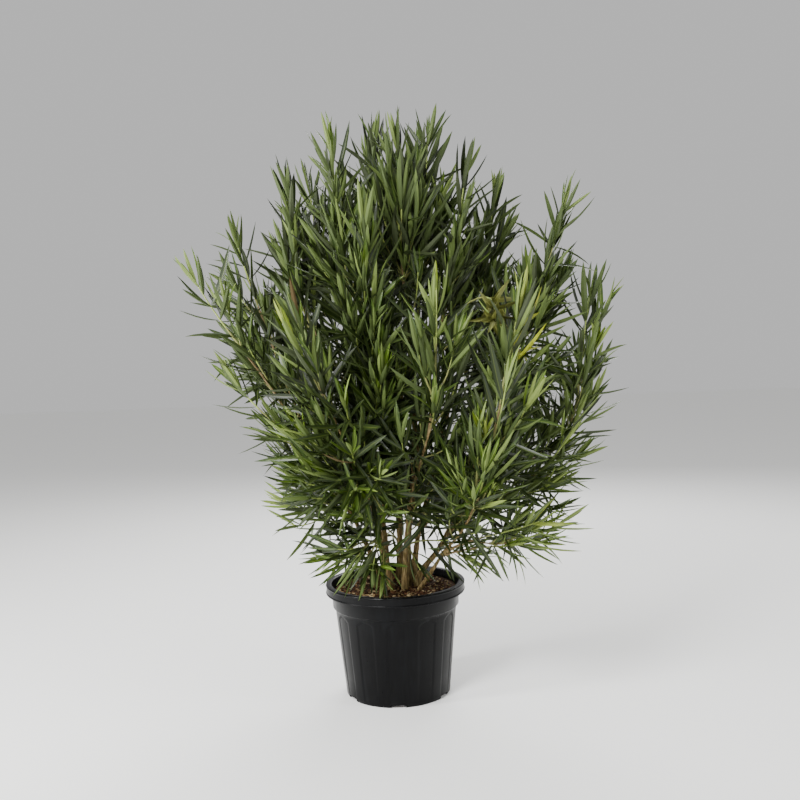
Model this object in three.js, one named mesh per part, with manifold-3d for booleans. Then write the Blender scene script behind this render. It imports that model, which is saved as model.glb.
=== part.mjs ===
// Potted oleander: a many-stemmed evergreen shrub in a 15-litre nursery pot.
// Millimetres, +Z up. The origin is the middle of the pot's flat underside.
// Azimuth runs anticlockwise from +X, so the side that faces -Y is the front.
import * as THREE from 'three';
import { mergeVertices } from 'three/addons/utils/BufferGeometryUtils.js';
import Module from 'manifold-3d';

const wasm = await Module();
wasm.setup();

// ---------------------------------------------------------------- driving sizes
const GAP = 0.5;                 // clearance kept between neighbouring solids

const POT_HEIGHT = 270;
const POT_RIM_RADIUS = 170;
const POT_MOUTH_RADIUS = 155;
const POT_COLLAR_RADIUS = 154;
const POT_WALL_TOP_RADIUS = 148; // where the plain wall meets the collar
const POT_FOOT_RADIUS = 127;
const POT_RIM_DEPTH = 23;        // height of the rolled rim's band
const POT_COLLAR_DEPTH = 37;     // height of the smooth band under the rim
const POT_WALL = 4;
const POT_FLOOR = 5;
const POT_SEGMENTS = 32;
const DRAIN_NOTCHES = 6;
const DRAIN_WIDTH = 35;
const DRAIN_HEIGHT = 7;
const DRAIN_REACH = 16;          // how far a notch runs in from the foot's edge

const SOIL_BELOW_RIM = 18;
const SOIL_LEVEL = POT_HEIGHT - SOIL_BELOW_RIM;

const LIMB_SIDES = 5;
const LIMB_STEP = 95;            // length of one straight stretch of a limb
const LIMB_IN_MASS = 12;         // how far a limb's end goes into its foliage
const ROOT_FLARE = 0.55;         // extra girth of a stem at the soil
const FLARE_HEIGHT = 30;
const STEM_TAPER = 0.42;         // girth left at a stem's end
const BOUGH_TAPER = 0.5;         // girth left at a bough's end
const BOUGH_HOLD = 0.38;         // how far a bough keeps its stem's direction
const BOUGH_LEVEL = 0.3;         // how far its end turns from that to its foliage

const MASS_SIDES = 9;
const MASS_RINGS = 6;
const MASS_BEND = 0.28;          // how far a mass keeps its limb's direction
const MASS_SWELL = 1.06;         // girth of a mass at its foot, as a share
const MASS_TAPER = 0.3;          // how much of it is gone at the tip
const LOBE_DEPTH = 0.17;         // how uneven a foliage mass is
const LOBE_TURN = 2.4;           // radians from one mass's lobes to the next one's
const TIP_PULL = 0.22;           // how far the last leaves draw a mass to a point

const BARK = 0x7a6040;
const GREEN_BARK = 0x6f8436;
const POT_BLACK = 0x25272a;
const MULCH = 0x4a3022;
const DARK_LEAF = 0x2f4420;
const MID_LEAF = 0x466128;
const YOUNG_LEAF = 0x6f8f34;

// A place by its azimuth in degrees, its reach from the pot's axis and its height.
function place(azimuth, reach, height) {
  const turn = THREE.MathUtils.degToRad(azimuth);
  return new THREE.Vector3(reach * Math.cos(turn), reach * Math.sin(turn), height);
}

// -------------------------------------------------------------- the plant's plan
// Stems rise from the soil. `foot` is the azimuth and reach where one leaves the soil,
// `knee` a place it bends through and `neck` the place where its foliage begins.
const stems = [
  { name: 'stem_leader', foot: [25, 28], knee: [2, 60, 600], neck: [-30, 50, 1000], girth: 10 },
  { name: 'stem_left', foot: [140, 22], knee: [175, 42, 600], neck: [208, 96, 960], girth: 7.5 },
  { name: 'stem_far_left', foot: [170, 42], knee: [178, 108, 450], neck: [187, 275, 740], girth: 7 },
  { name: 'stem_back_left', foot: [115, 58], knee: [120, 125, 520], neck: [138, 195, 920], girth: 7.5 },
  { name: 'stem_back', foot: [80, 72], knee: [80, 130, 560], neck: [76, 185, 930], girth: 8 },
  { name: 'stem_back_right', foot: [50, 68], knee: [48, 150, 500], neck: [30, 230, 840], girth: 7.5 },
  { name: 'stem_right', foot: [2, 48], knee: [-2, 122, 362], neck: [-2, 315, 830], girth: 8.5 },
  { name: 'stem_front', foot: [-50, 34], knee: [-62, 90, 470], neck: [-65, 222, 660], girth: 6 },
  { name: 'stem_front_left', foot: [-110, 26], knee: [-122, 96, 480], neck: [-127, 205, 680], girth: 6 },
  { name: 'stem_low_right', foot: [-30, 66], knee: [-28, 165, 372], neck: [-28, 255, 378], girth: 4.5 },
];

// Boughs branch from a stem at a share of its length and end at the neck of their foliage.
const boughs = [
  { name: 'bough_top', from: 'stem_leader', share: 0.52, neck: [18, 88, 985], girth: 5.5 },
  { name: 'bough_right_shoulder', from: 'stem_leader', share: 0.34, neck: [-8, 134, 900], girth: 5.5 },
  { name: 'bough_top_left', from: 'stem_left', share: 0.55, neck: [112, 62, 985], girth: 5 },
  { name: 'bough_left_top', from: 'stem_left', share: 0.40, neck: [180, 172, 880], girth: 5 },
  { name: 'bough_left_upper', from: 'stem_far_left', share: 0.55, neck: [170, 288, 850], girth: 4.5 },
  { name: 'bough_left_middle', from: 'stem_far_left', share: 0.35, neck: [196, 222, 610], girth: 4.5 },
  { name: 'bough_far_right', from: 'stem_right', share: 0.42, neck: [-3, 345, 560], girth: 5 },
  { name: 'bough_right_low', from: 'stem_right', share: 0.22, neck: [-8, 285, 480], girth: 4.5 },
  { name: 'bough_front_right', from: 'stem_right', share: 0.16, neck: [-48, 325, 610], girth: 5 },
  { name: 'bough_back_left', from: 'stem_back_left', share: 0.35, neck: [146, 280, 740], girth: 5 },
  { name: 'bough_back_middle', from: 'stem_back', share: 0.35, neck: [94, 268, 700], girth: 5 },
  { name: 'bough_back_right', from: 'stem_back_right', share: 0.40, neck: [44, 292, 740], girth: 5 },
  { name: 'bough_front_low_right', from: 'stem_low_right', share: 0.45, neck: [-52, 290, 480], girth: 4 },
];

// Masses of foliage. Each rises from the end of its limb, or from `foot`, to its furthest
// leaf `tip`, and swells to `girth` on the way. `age` picks the colour of its leaves.
const masses = [
  { name: 'foliage_crown', on: 'stem_leader', tip: [-45, 52, 1388], girth: 100, age: 'mid' },
  { name: 'foliage_top', on: 'bough_top', tip: [17, 126, 1408], girth: 92, age: 'mid' },
  { name: 'foliage_top_back', on: 'bough_top_left', tip: [102, 92, 1414], girth: 92, age: 'dark' },
  { name: 'foliage_top_left', on: 'stem_left', tip: [202, 132, 1376], girth: 90, age: 'mid' },
  { name: 'foliage_right_shoulder', on: 'bough_right_shoulder', tip: [-8, 214, 1312], girth: 84, age: 'mid' },
  { name: 'foliage_left_top', on: 'bough_left_top', tip: [180, 236, 1292], girth: 72, age: 'dark' },
  { name: 'foliage_back_top', on: 'stem_back', tip: [74, 245, 1352], girth: 100, age: 'dark' },
  { name: 'foliage_back_left_top', on: 'stem_back_left', tip: [138, 268, 1322], girth: 98, age: 'dark' },
  { name: 'foliage_right_upper', on: 'stem_back_right', tip: [14, 300, 1262], girth: 96, age: 'dark' },
  { name: 'foliage_far_right_top', on: 'stem_right', tip: [2, 462, 1228], girth: 88, age: 'mid' },
  { name: 'foliage_left_upper', on: 'bough_left_upper', tip: [170, 392, 1178], girth: 84, age: 'mid' },
  { name: 'foliage_far_left', on: 'stem_far_left', tip: [187, 486, 1066], girth: 80, age: 'young' },
  { name: 'foliage_far_right', on: 'bough_far_right', tip: [0, 522, 1018], girth: 86, age: 'mid' },
  { name: 'foliage_back_right', on: 'bough_back_right', tip: [42, 452, 1060], girth: 104, age: 'dark' },
  { name: 'foliage_back_middle', on: 'bough_back_middle', tip: [95, 420, 1050], girth: 108, age: 'dark' },
  { name: 'foliage_back_left', on: 'bough_back_left', tip: [146, 448, 1040], girth: 104, age: 'dark' },
  { name: 'foliage_front_right', on: 'bough_front_right', tip: [-46, 420, 962], girth: 98, age: 'young' },
  { name: 'foliage_front', on: 'stem_front', tip: [-67, 280, 988], girth: 100, age: 'young' },
  { name: 'foliage_front_left', on: 'stem_front_left', tip: [-136, 300, 976], girth: 96, age: 'young' },
  { name: 'foliage_heart', foot: [-105, 115, 590], tip: [-104, 172, 1188], girth: 104, age: 'dark' },
  { name: 'foliage_heart_right', foot: [-14, 250, 590], tip: [-10, 372, 990], girth: 96, age: 'dark' },
  { name: 'foliage_left_middle', on: 'bough_left_middle', tip: [190, 408, 812], girth: 78, age: 'mid' },
  { name: 'foliage_right_low', on: 'bough_right_low', tip: [-4, 500, 590], girth: 84, age: 'mid' },
  { name: 'foliage_low_right', on: 'stem_low_right', tip: [-20, 470, 440], girth: 74, age: 'mid' },
  {
    name: 'foliage_front_low_right', on: 'bough_front_low_right', tip: [-58, 388, 716], girth: 92, age: 'mid',
  },
  { name: 'foliage_front_low', foot: [-92, 190, 470], tip: [-104, 352, 650], girth: 92, age: 'mid' },
  { name: 'foliage_front_low_left', foot: [-132, 140, 480], tip: [-134, 330, 700], girth: 96, age: 'mid' },
  { name: 'foliage_left_low', foot: [172, 130, 440], tip: [172, 322, 478], girth: 74, age: 'dark' },
  { name: 'foliage_back_low', foot: [80, 140, 430], tip: [80, 348, 560], girth: 96, age: 'dark' },
  { name: 'foliage_back_low_left', foot: [142, 130, 440], tip: [142, 352, 600], girth: 88, age: 'dark' },
  { name: 'foliage_back_low_right', foot: [32, 150, 440], tip: [34, 372, 580], girth: 90, age: 'dark' },
  { name: 'foliage_skirt_left', foot: [-150, 50, 395], tip: [-158, 215, 330], girth: 56, age: 'mid' },
  { name: 'foliage_skirt_front', foot: [-100, 80, 382], tip: [-104, 205, 318], girth: 52, age: 'mid' },
  { name: 'foliage_skirt_right', foot: [-12, 130, 392], tip: [-24, 250, 312], girth: 50, age: 'mid' },
  { name: 'foliage_skirt_back', foot: [104, 135, 392], tip: [104, 255, 352], girth: 62, age: 'dark' },
];

// --------------------------------------------------------------------- solid tools
function weld(geometry) {
  geometry.deleteAttribute('normal');
  geometry.deleteAttribute('uv');
  return mergeVertices(geometry, 1e-3);
}

function toSolid(geometry) {
  return new wasm.Manifold(new wasm.Mesh({
    numProp: 3,
    vertProperties: new Float32Array(geometry.attributes.position.array),
    triVerts: new Uint32Array(geometry.index.array),
  }));
}

function toGeometry(solid) {
  const mesh = solid.getMesh();
  const geometry = new THREE.BufferGeometry();
  geometry.setAttribute('position', new THREE.BufferAttribute(mesh.vertProperties, 3));
  geometry.setIndex(new THREE.BufferAttribute(mesh.triVerts, 1));
  return geometry;
}

// The same welded shape with every corner moved out by `gap`, to cut its neighbours with.
// It is joined to the shape itself, because a thin lobe's corners can move along its faces.
function swollen(geometry, gap) {
  const larger = geometry.clone();
  larger.computeVertexNormals();
  const corners = larger.attributes.position;
  const normals = larger.attributes.normal;
  for (let i = 0; i < corners.count; i += 1) {
    corners.setXYZ(
      i,
      corners.getX(i) + gap * normals.getX(i),
      corners.getY(i) + gap * normals.getY(i),
      corners.getZ(i) + gap * normals.getZ(i),
    );
  }
  return toSolid(larger).add(toSolid(geometry));
}

function largestPiece(solid) {
  const pieces = solid.decompose();
  return pieces.reduce((best, piece) => (piece.volume() > best.volume() ? piece : best));
}

// ------------------------------------------------------------------------- the pot
function potProfile() {
  const rimFoot = POT_HEIGHT - POT_RIM_DEPTH;
  const collarFoot = rimFoot - POT_COLLAR_DEPTH;
  const lip = 4;                 // rounding of the rolled rim
  return [
    [0, 0],
    [POT_FOOT_RADIUS - 2, 0],
    [POT_FOOT_RADIUS, 3],
    [POT_WALL_TOP_RADIUS, collarFoot],
    [POT_COLLAR_RADIUS, collarFoot + 5],
    [POT_COLLAR_RADIUS + 1, rimFoot],
    [POT_RIM_RADIUS - 2, rimFoot + 1],
    [POT_RIM_RADIUS, rimFoot + lip],
    [POT_RIM_RADIUS, POT_HEIGHT - lip],
    [POT_RIM_RADIUS - 3, POT_HEIGHT],
    [POT_MOUTH_RADIUS + 2, POT_HEIGHT],
    [POT_MOUTH_RADIUS, POT_HEIGHT - 3],
    [POT_COLLAR_RADIUS - POT_WALL, rimFoot - 4],
    [POT_WALL_TOP_RADIUS - POT_WALL, collarFoot],
    [POT_FOOT_RADIUS - POT_WALL, POT_FLOOR],
    [0, POT_FLOOR],
  ].map(([radius, height]) => new THREE.Vector2(radius, height));
}

// Turns a profile of (radius, height) pairs about +Z, with its faces pointing out.
function turned(profile) {
  const geometry = new THREE.LatheGeometry(profile, POT_SEGMENTS);
  geometry.rotateX(Math.PI / 2);
  const welded = weld(geometry);
  const solid = toSolid(welded);
  if (solid.volume() < 0) throw new Error('the turned profile is inside out');
  return welded;
}

function drainNotch(turn) {
  const notch = new THREE.BoxGeometry(2 * DRAIN_REACH, DRAIN_WIDTH, 2 * DRAIN_HEIGHT);
  notch.translate(POT_FOOT_RADIUS, 0, 0);
  notch.rotateZ(turn);
  return toSolid(weld(notch));
}

function makePot() {
  let pot = toSolid(turned(potProfile()));
  for (let i = 0; i < DRAIN_NOTCHES; i += 1) {
    pot = pot.subtract(drainNotch((i + 0.5) * 2 * Math.PI / DRAIN_NOTCHES));
  }
  return pot;
}

function makeSoil() {
  const rimFoot = POT_HEIGHT - POT_RIM_DEPTH;
  const collarFoot = rimFoot - POT_COLLAR_DEPTH;
  const clear = POT_WALL + 2 * GAP;
  const collarWall = POT_COLLAR_RADIUS - clear;
  const profile = [
    [0, POT_FLOOR + GAP],
    [POT_FOOT_RADIUS - clear, POT_FLOOR + GAP],
    [POT_WALL_TOP_RADIUS - clear, collarFoot],
    [collarWall, rimFoot - 4],
    [collarWall + 1, SOIL_LEVEL - 1],
    [collarWall - 3, SOIL_LEVEL],
    [0, SOIL_LEVEL],
  ].map(([radius, height]) => new THREE.Vector2(radius, height));
  return turned(profile);
}

// ------------------------------------------------------------------------ the limbs
// Maps a closed unit shape, whose z runs from 0 to 1, along a curve. `section` gives the
// size of the cross-section at a share of the way, and `reach` that share for a given z.
function alongCurve(shape, curve, section, reach = (z) => z) {
  const corners = shape.attributes.position;
  const side = new THREE.Vector3();
  const across = new THREE.Vector3();
  for (let i = 0; i < corners.count; i += 1) {
    const share = THREE.MathUtils.clamp(reach(corners.getZ(i)), 0, 1);
    const forward = curve.getTangent(share);
    across.set(0, 1, 0).cross(forward).normalize();
    side.crossVectors(forward, across).normalize();
    const middle = curve.getPoint(share);
    const size = section(share, Math.atan2(corners.getY(i), corners.getX(i)));
    middle.addScaledVector(across, corners.getX(i) * size);
    middle.addScaledVector(side, corners.getY(i) * size);
    corners.setXYZ(i, middle.x, middle.y, middle.z);
  }
  return shape;
}

function limbGeometry(curve, footRadius, tipRadius, flare) {
  const length = curve.getLength();
  const steps = Math.max(3, Math.round(length / LIMB_STEP));
  const shape = new THREE.CylinderGeometry(1, 1, 1, LIMB_SIDES, steps);
  shape.rotateX(Math.PI / 2);
  shape.translate(0, 0, 0.5);
  const bark = (share) => {
    const taper = THREE.MathUtils.lerp(footRadius, tipRadius, share);
    return taper + flare * footRadius * Math.exp(-share * length / FLARE_HEIGHT);
  };
  return alongCurve(weld(shape), curve, bark);
}

function stemCurve(stem) {
  const foot = place(...stem.foot, SOIL_LEVEL + GAP);
  const knee = place(...stem.knee);
  const neck = place(...stem.neck);
  const rise = (knee.z - foot.z) / 3;
  const onward = neck.clone().sub(foot).normalize();
  const lower = new THREE.CubicBezierCurve3(
    foot,
    foot.clone().setZ(foot.z + rise),
    knee.clone().addScaledVector(onward, -rise),
    knee,
  );
  const upperReach = knee.distanceTo(neck) / 3;
  const upper = new THREE.CubicBezierCurve3(
    knee,
    knee.clone().addScaledVector(onward, upperReach),
    neck.clone().addScaledVector(neck.clone().sub(knee).normalize(), -upperReach),
    neck,
  );
  return new THREE.CatmullRomCurve3(
    [...lower.getSpacedPoints(4), ...upper.getSpacedPoints(5).slice(1)],
    false,
    'centripetal',
  );
}

function boughCurve(bough, parent) {
  const start = parent.getPointAt(bough.share);
  const end = place(...bough.neck);
  const forward = parent.getTangentAt(bough.share);
  const bend = start.clone().addScaledVector(forward, start.distanceTo(end) * BOUGH_HOLD);
  const near = end.clone().lerp(bend, BOUGH_LEVEL);
  return new THREE.CubicBezierCurve3(start, bend, near, end);
}

// ------------------------------------------------------------------------ the masses
function massCurve(start, forward, tip) {
  const length = start.distanceTo(tip);
  const bend = start.clone().addScaledVector(forward, length * MASS_BEND);
  return new THREE.QuadraticBezierCurve3(start, bend, tip);
}

// An uneven pointed body: lobes wind round it, each mass from its own turn.
function massGeometry(curve, girth, order) {
  const shape = new THREE.SphereGeometry(1, MASS_SIDES, MASS_RINGS);
  const turn = order * LOBE_TURN;
  shape.rotateX(Math.PI / 2);
  shape.rotateZ(turn);
  shape.translate(0, 0, 1);
  shape.scale(1, 1, 0.5);
  const leaves = (share, angle) => {
    const broad = Math.sin(2 * angle + 6 * share + turn);
    const fine = Math.sin(5 * angle - 9 * share + 2 * turn);
    const uneven = 1 + LOBE_DEPTH * (broad + fine / 2);
    return girth * uneven * (MASS_SWELL - MASS_TAPER * share);
  };
  const drawn = (z) => z - TIP_PULL * z * (1 - z);
  return alongCurve(weld(shape), curve, leaves, drawn);
}

// ----------------------------------------------------------------------- assembly
function matte(color, roughness) {
  return new THREE.MeshStandardMaterial({ color, roughness, metalness: 0 });
}

const moulded = matte(POT_BLACK, 0.45);
const mulch = matte(MULCH, 0.95);
const bark = matte(BARK, 0.85);
const greenBark = matte(GREEN_BARK, 0.7);
const leafMaterials = {
  dark: matte(DARK_LEAF, 0.6),
  mid: matte(MID_LEAF, 0.6),
  young: matte(YOUNG_LEAF, 0.6),
};

const group = new THREE.Group();

function addNode(name, solid, material) {
  const mesh = new THREE.Mesh(toGeometry(solid), material);
  mesh.name = name;
  group.add(mesh);
}

const pot = makePot();
const soil = makeSoil();
addNode('pot', pot, moulded);
addNode('soil', toSolid(soil), mulch);

// Everything made so far, swollen by the clearance. Each new solid is cut by it.
let taken = swollen(weld(toGeometry(pot)), GAP).add(swollen(soil, GAP / 2));

function settle(name, geometry, material) {
  const solid = largestPiece(toSolid(geometry).subtract(taken));
  taken = taken.add(swollen(geometry, GAP));
  addNode(name, solid, material);
}

const curves = {};
for (const stem of stems) {
  curves[stem.name] = stemCurve(stem);
  const limb = limbGeometry(curves[stem.name], stem.girth, stem.girth * STEM_TAPER, ROOT_FLARE);
  settle(stem.name, limb, stem.name === 'stem_low_right' ? greenBark : bark);
}
for (const bough of boughs) {
  curves[bough.name] = boughCurve(bough, curves[bough.from]);
  const limb = limbGeometry(curves[bough.name], bough.girth, bough.girth * BOUGH_TAPER, 0);
  settle(bough.name, limb, bark);
}

function massStart(mass) {
  if (!mass.on) {
    const foot = place(...mass.foot);
    return { start: foot, forward: place(...mass.tip).sub(foot).normalize() };
  }
  const forward = curves[mass.on].getTangentAt(1);
  const start = curves[mass.on].getPointAt(1).addScaledVector(forward, -LIMB_IN_MASS);
  return { start, forward };
}

masses.forEach((mass, order) => {
  const { start, forward } = massStart(mass);
  const curve = massCurve(start, forward, place(...mass.tip));
  settle(mass.name, massGeometry(curve, mass.girth, order), leafMaterials[mass.age]);
});

export default group;
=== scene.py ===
"""Potted oleander: bark, leafy shoots, nursery pot and mulch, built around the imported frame.

Every length is in metres, +Z is up and the pot stands at the origin. Limbs are read from the
frame's own limbs, and each mass of foliage in the frame is filled with shoots that grow on from
the end of the limb that reaches it.
"""

import logging
import math
import random
from dataclasses import dataclass, field
from enum import Enum
from typing import Callable, Sequence

import bpy
import bmesh
import numpy as np
from mathutils import Matrix, Quaternion, Vector
from mathutils.bvhtree import BVHTree


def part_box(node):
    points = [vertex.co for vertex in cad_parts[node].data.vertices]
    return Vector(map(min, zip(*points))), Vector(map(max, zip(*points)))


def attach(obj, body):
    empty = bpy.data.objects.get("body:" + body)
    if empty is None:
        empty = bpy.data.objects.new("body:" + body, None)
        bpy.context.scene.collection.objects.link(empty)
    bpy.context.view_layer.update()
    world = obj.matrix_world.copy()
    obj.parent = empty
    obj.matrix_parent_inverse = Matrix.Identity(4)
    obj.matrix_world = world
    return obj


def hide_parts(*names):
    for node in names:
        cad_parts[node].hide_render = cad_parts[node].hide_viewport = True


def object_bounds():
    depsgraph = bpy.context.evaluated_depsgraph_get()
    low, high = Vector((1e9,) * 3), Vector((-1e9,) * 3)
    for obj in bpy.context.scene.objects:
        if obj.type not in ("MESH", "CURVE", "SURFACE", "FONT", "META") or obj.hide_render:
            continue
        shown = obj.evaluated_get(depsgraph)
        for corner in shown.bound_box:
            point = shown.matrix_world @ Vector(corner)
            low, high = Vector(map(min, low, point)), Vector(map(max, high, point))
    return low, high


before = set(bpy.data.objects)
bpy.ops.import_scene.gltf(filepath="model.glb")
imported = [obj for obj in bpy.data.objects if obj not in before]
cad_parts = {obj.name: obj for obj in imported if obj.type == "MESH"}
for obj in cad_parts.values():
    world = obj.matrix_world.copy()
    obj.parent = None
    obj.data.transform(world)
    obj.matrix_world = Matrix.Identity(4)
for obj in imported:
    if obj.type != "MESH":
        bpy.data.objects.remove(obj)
CAD_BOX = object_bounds()

LOG = logging.getLogger("oleander")
BODY = "root"
MM = 0.001
GOLDEN_ANGLE = math.radians(137.5)
UP = Vector((0, 0, 1))
SOIL_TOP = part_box("soil")[1].z
RIM_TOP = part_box("pot")[1].z
RIM_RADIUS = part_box("pot")[1].x


# ---------------------------------------------------------------------------- small tools
def linear(shade: str) -> tuple[float, float, float, float]:
    """Turns an sRGB hex colour into linear light.

    Args:
        shade: Six hex digits after a #.

    Returns:
        Linear red, green, blue and an alpha of one.
    """
    channels = [int(shade[i:i + 2], 16) / 255 for i in (1, 3, 5)]
    lit = [c / 12.92 if c <= 0.04045 else ((c + 0.055) / 1.055) ** 2.4 for c in channels]
    return (lit[0], lit[1], lit[2], 1.0)


def shade_of(colour: str, gain: float) -> str:
    """Makes an sRGB hex colour lighter or darker.

    Args:
        colour: Six hex digits after a #.
        gain: What each channel is multiplied by.

    Returns:
        The new hex colour.
    """
    channels = [min(255, round(int(colour[i:i + 2], 16) * gain)) for i in (1, 3, 5)]
    return "#" + "".join(f"{c:02x}" for c in channels)


def add_node(tree: bpy.types.NodeTree, kind: str, links: dict, **settings) -> bpy.types.Node:
    """Adds one shader node.

    Args:
        tree: The material's node tree.
        kind: The node's type name without the ShaderNode prefix.
        links: Input name or index to a value, or to an output socket to link from.
        settings: Attributes of the node itself.

    Returns:
        The new node.
    """
    node = tree.nodes.new("ShaderNode" + kind)
    for name, value in settings.items():
        setattr(node, name, value)
    for name, value in links.items():
        if isinstance(value, bpy.types.NodeSocket):
            tree.links.new(value, node.inputs[name])
        else:
            node.inputs[name].default_value = value
    return node


def colour_ramp(node: bpy.types.Node, stops: Sequence[tuple[float, str]]) -> bpy.types.NodeSocket:
    """Sets a colour ramp's stops.

    Args:
        node: A ValToRGB node.
        stops: Places from 0 to 1, each with an sRGB hex colour.

    Returns:
        The ramp's colour output.
    """
    ramp = node.color_ramp
    for place, shade in stops[1:-1]:
        ramp.elements.new(place)
    for element, (place, shade) in zip(ramp.elements, stops):
        element.position = place
        element.color = linear(shade)
    ramp.elements[-1].position = stops[-1][0]
    return node.outputs["Color"]


def deselect_everything() -> None:
    """Leaves object mode with nothing selected."""
    if bpy.context.object and bpy.context.object.mode != "OBJECT":
        bpy.ops.object.mode_set(mode="OBJECT")
    bpy.ops.object.select_all(action="DESELECT")


def work_on(piece: bpy.types.Object) -> None:
    """Makes a piece the only selected and the active object."""
    deselect_everything()
    piece.select_set(True)
    bpy.context.view_layer.objects.active = piece


def settle(piece: bpy.types.Object) -> None:
    """Puts a piece's place, turn and scale into its mesh."""
    work_on(piece)
    bpy.ops.object.transform_apply(location=True, rotation=True, scale=True)


def apply_modifier(piece: bpy.types.Object, kind: str, **settings) -> None:
    """Adds a modifier and applies it.

    Args:
        piece: The mesh object.
        kind: The modifier's type.
        settings: Attributes of the modifier.
    """
    work_on(piece)
    modifier = piece.modifiers.new(kind.title(), kind)
    for name, value in settings.items():
        setattr(modifier, name, value)
    bpy.ops.object.modifier_apply(modifier=modifier.name)


def select_corners(piece: bpy.types.Object, wanted: Callable[[Vector], bool]) -> None:
    """In edit mode, selects only the corners that a test picks by their place.

    Args:
        piece: The object in edit mode.
        wanted: Says whether the corner at a place is selected.
    """
    cage = bmesh.from_edit_mesh(piece.data)
    for corner in cage.verts:
        corner.select_set(wanted(corner.co))
    cage.select_flush_mode()
    bmesh.update_edit_mesh(piece.data)


def select_faces(piece: bpy.types.Object, wanted: Callable[[Vector, Vector], bool]) -> None:
    """In edit mode, selects only the faces that a test picks by middle and normal.

    Args:
        piece: The object in edit mode.
        wanted: Says whether a face with that middle and normal is selected.
    """
    cage = bmesh.from_edit_mesh(piece.data)
    for face in cage.faces:
        face.select_set(False)
    for face in cage.faces:
        if wanted(face.calc_center_median(), face.normal):
            face.select_set(True)
    bmesh.update_edit_mesh(piece.data)


def hand_over(piece: bpy.types.Object, nodes: Sequence[str] = ()) -> None:
    """Declares a finished piece to the frame.

    Args:
        piece: The finished object.
        nodes: The frame's nodes that the piece stands for.
    """
    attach(piece, BODY)
    if nodes:
        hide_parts(*nodes)
    LOG.info("%s: %d faces for %d nodes", piece.name, len(piece.data.polygons), len(nodes))


# ------------------------------------------------------------------------------- finishes
@dataclass(frozen=True)
class LeafTissue:
    """Cuticle-coated leaf tissue: waxy but not wet, so a broad soft highlight.

    The colour is plain, because each spray of leaves is dealt its own tint.
    """

    name: str
    shade: str
    roughness: float = 0.45
    specular: float = 0.40

    def material(self) -> bpy.types.Material:
        """Returns the tissue's material."""
        material = bpy.data.materials.new(self.name)
        material.use_nodes = True
        tree = material.node_tree
        tree.nodes.clear()
        surface = add_node(tree, "BsdfPrincipled", {
            "Base Color": linear(self.shade),
            "Roughness": self.roughness,
            "Specular IOR Level": self.specular,
        })
        add_node(tree, "OutputMaterial", {"Surface": surface.outputs["BSDF"]})
        return material


@dataclass(frozen=True)
class WoodyBark:
    """Oleander bark: thin, tan and finely furrowed on old wood, olive green on young wood."""

    name: str = "oleander_bark"
    furrow: float = 2.2 * MM
    patch: float = 26.3 * MM
    green_from: float = 0.62
    green_to: float = 1.05

    def material(self) -> bpy.types.Material:
        """Returns the bark's material."""
        material = bpy.data.materials.new(self.name)
        material.use_nodes = True
        tree = material.node_tree
        tree.nodes.clear()
        place = add_node(tree, "TexCoord", {}).outputs["Object"]
        drawn = add_node(tree, "Mapping", {"Vector": place, "Scale": (1.0, 1.0, 0.14)})
        fibres = add_node(tree, "TexNoise", {
            "Vector": drawn.outputs["Vector"],
            "Scale": 1 / self.furrow / 2,
            "Detail": 6.0,
            "Roughness": 0.62,
        })
        patches = add_node(tree, "TexNoise", {"Vector": place, "Scale": 1 / self.patch, "Detail": 4.0})
        old = colour_ramp(add_node(tree, "ValToRGB", {"Fac": fibres.outputs["Fac"]}), (
            (0.30, "#372d18"), (0.46, "#6a5833"), (0.58, "#907b50"), (0.74, "#b6a47a")))
        young = colour_ramp(add_node(tree, "ValToRGB", {"Fac": fibres.outputs["Fac"]}), (
            (0.30, "#39461d"), (0.52, "#66783a"), (0.75, "#8e9c55")))
        height = add_node(tree, "SeparateXYZ", {"Vector": place}).outputs["Z"]
        rise = add_node(tree, "MapRange", {
            "Value": height, "From Min": self.green_from, "From Max": self.green_to})
        shifted = add_node(tree, "Math", {0: rise.outputs["Result"], 1: patches.outputs["Fac"]})
        share = add_node(tree, "Math", {0: shifted.outputs[0], 1: 0.5}, operation="SUBTRACT")
        share.use_clamp = True
        colour = add_node(tree, "MixRGB", {"Fac": share.outputs[0], "Color1": old, "Color2": young})
        relief = add_node(tree, "Bump", {
            "Height": fibres.outputs["Fac"], "Strength": 0.7, "Distance": 0.6 * MM})
        rough = add_node(tree, "MapRange", {
            "Value": fibres.outputs["Fac"], "To Min": 0.9, "To Max": 0.62})
        surface = add_node(tree, "BsdfPrincipled", {
            "Base Color": colour.outputs["Color"],
            "Roughness": rough.outputs["Result"],
            "Normal": relief.outputs["Normal"],
            "Specular IOR Level": 0.3,
        })
        add_node(tree, "OutputMaterial", {"Surface": surface.outputs["BSDF"]})
        return material


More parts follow.
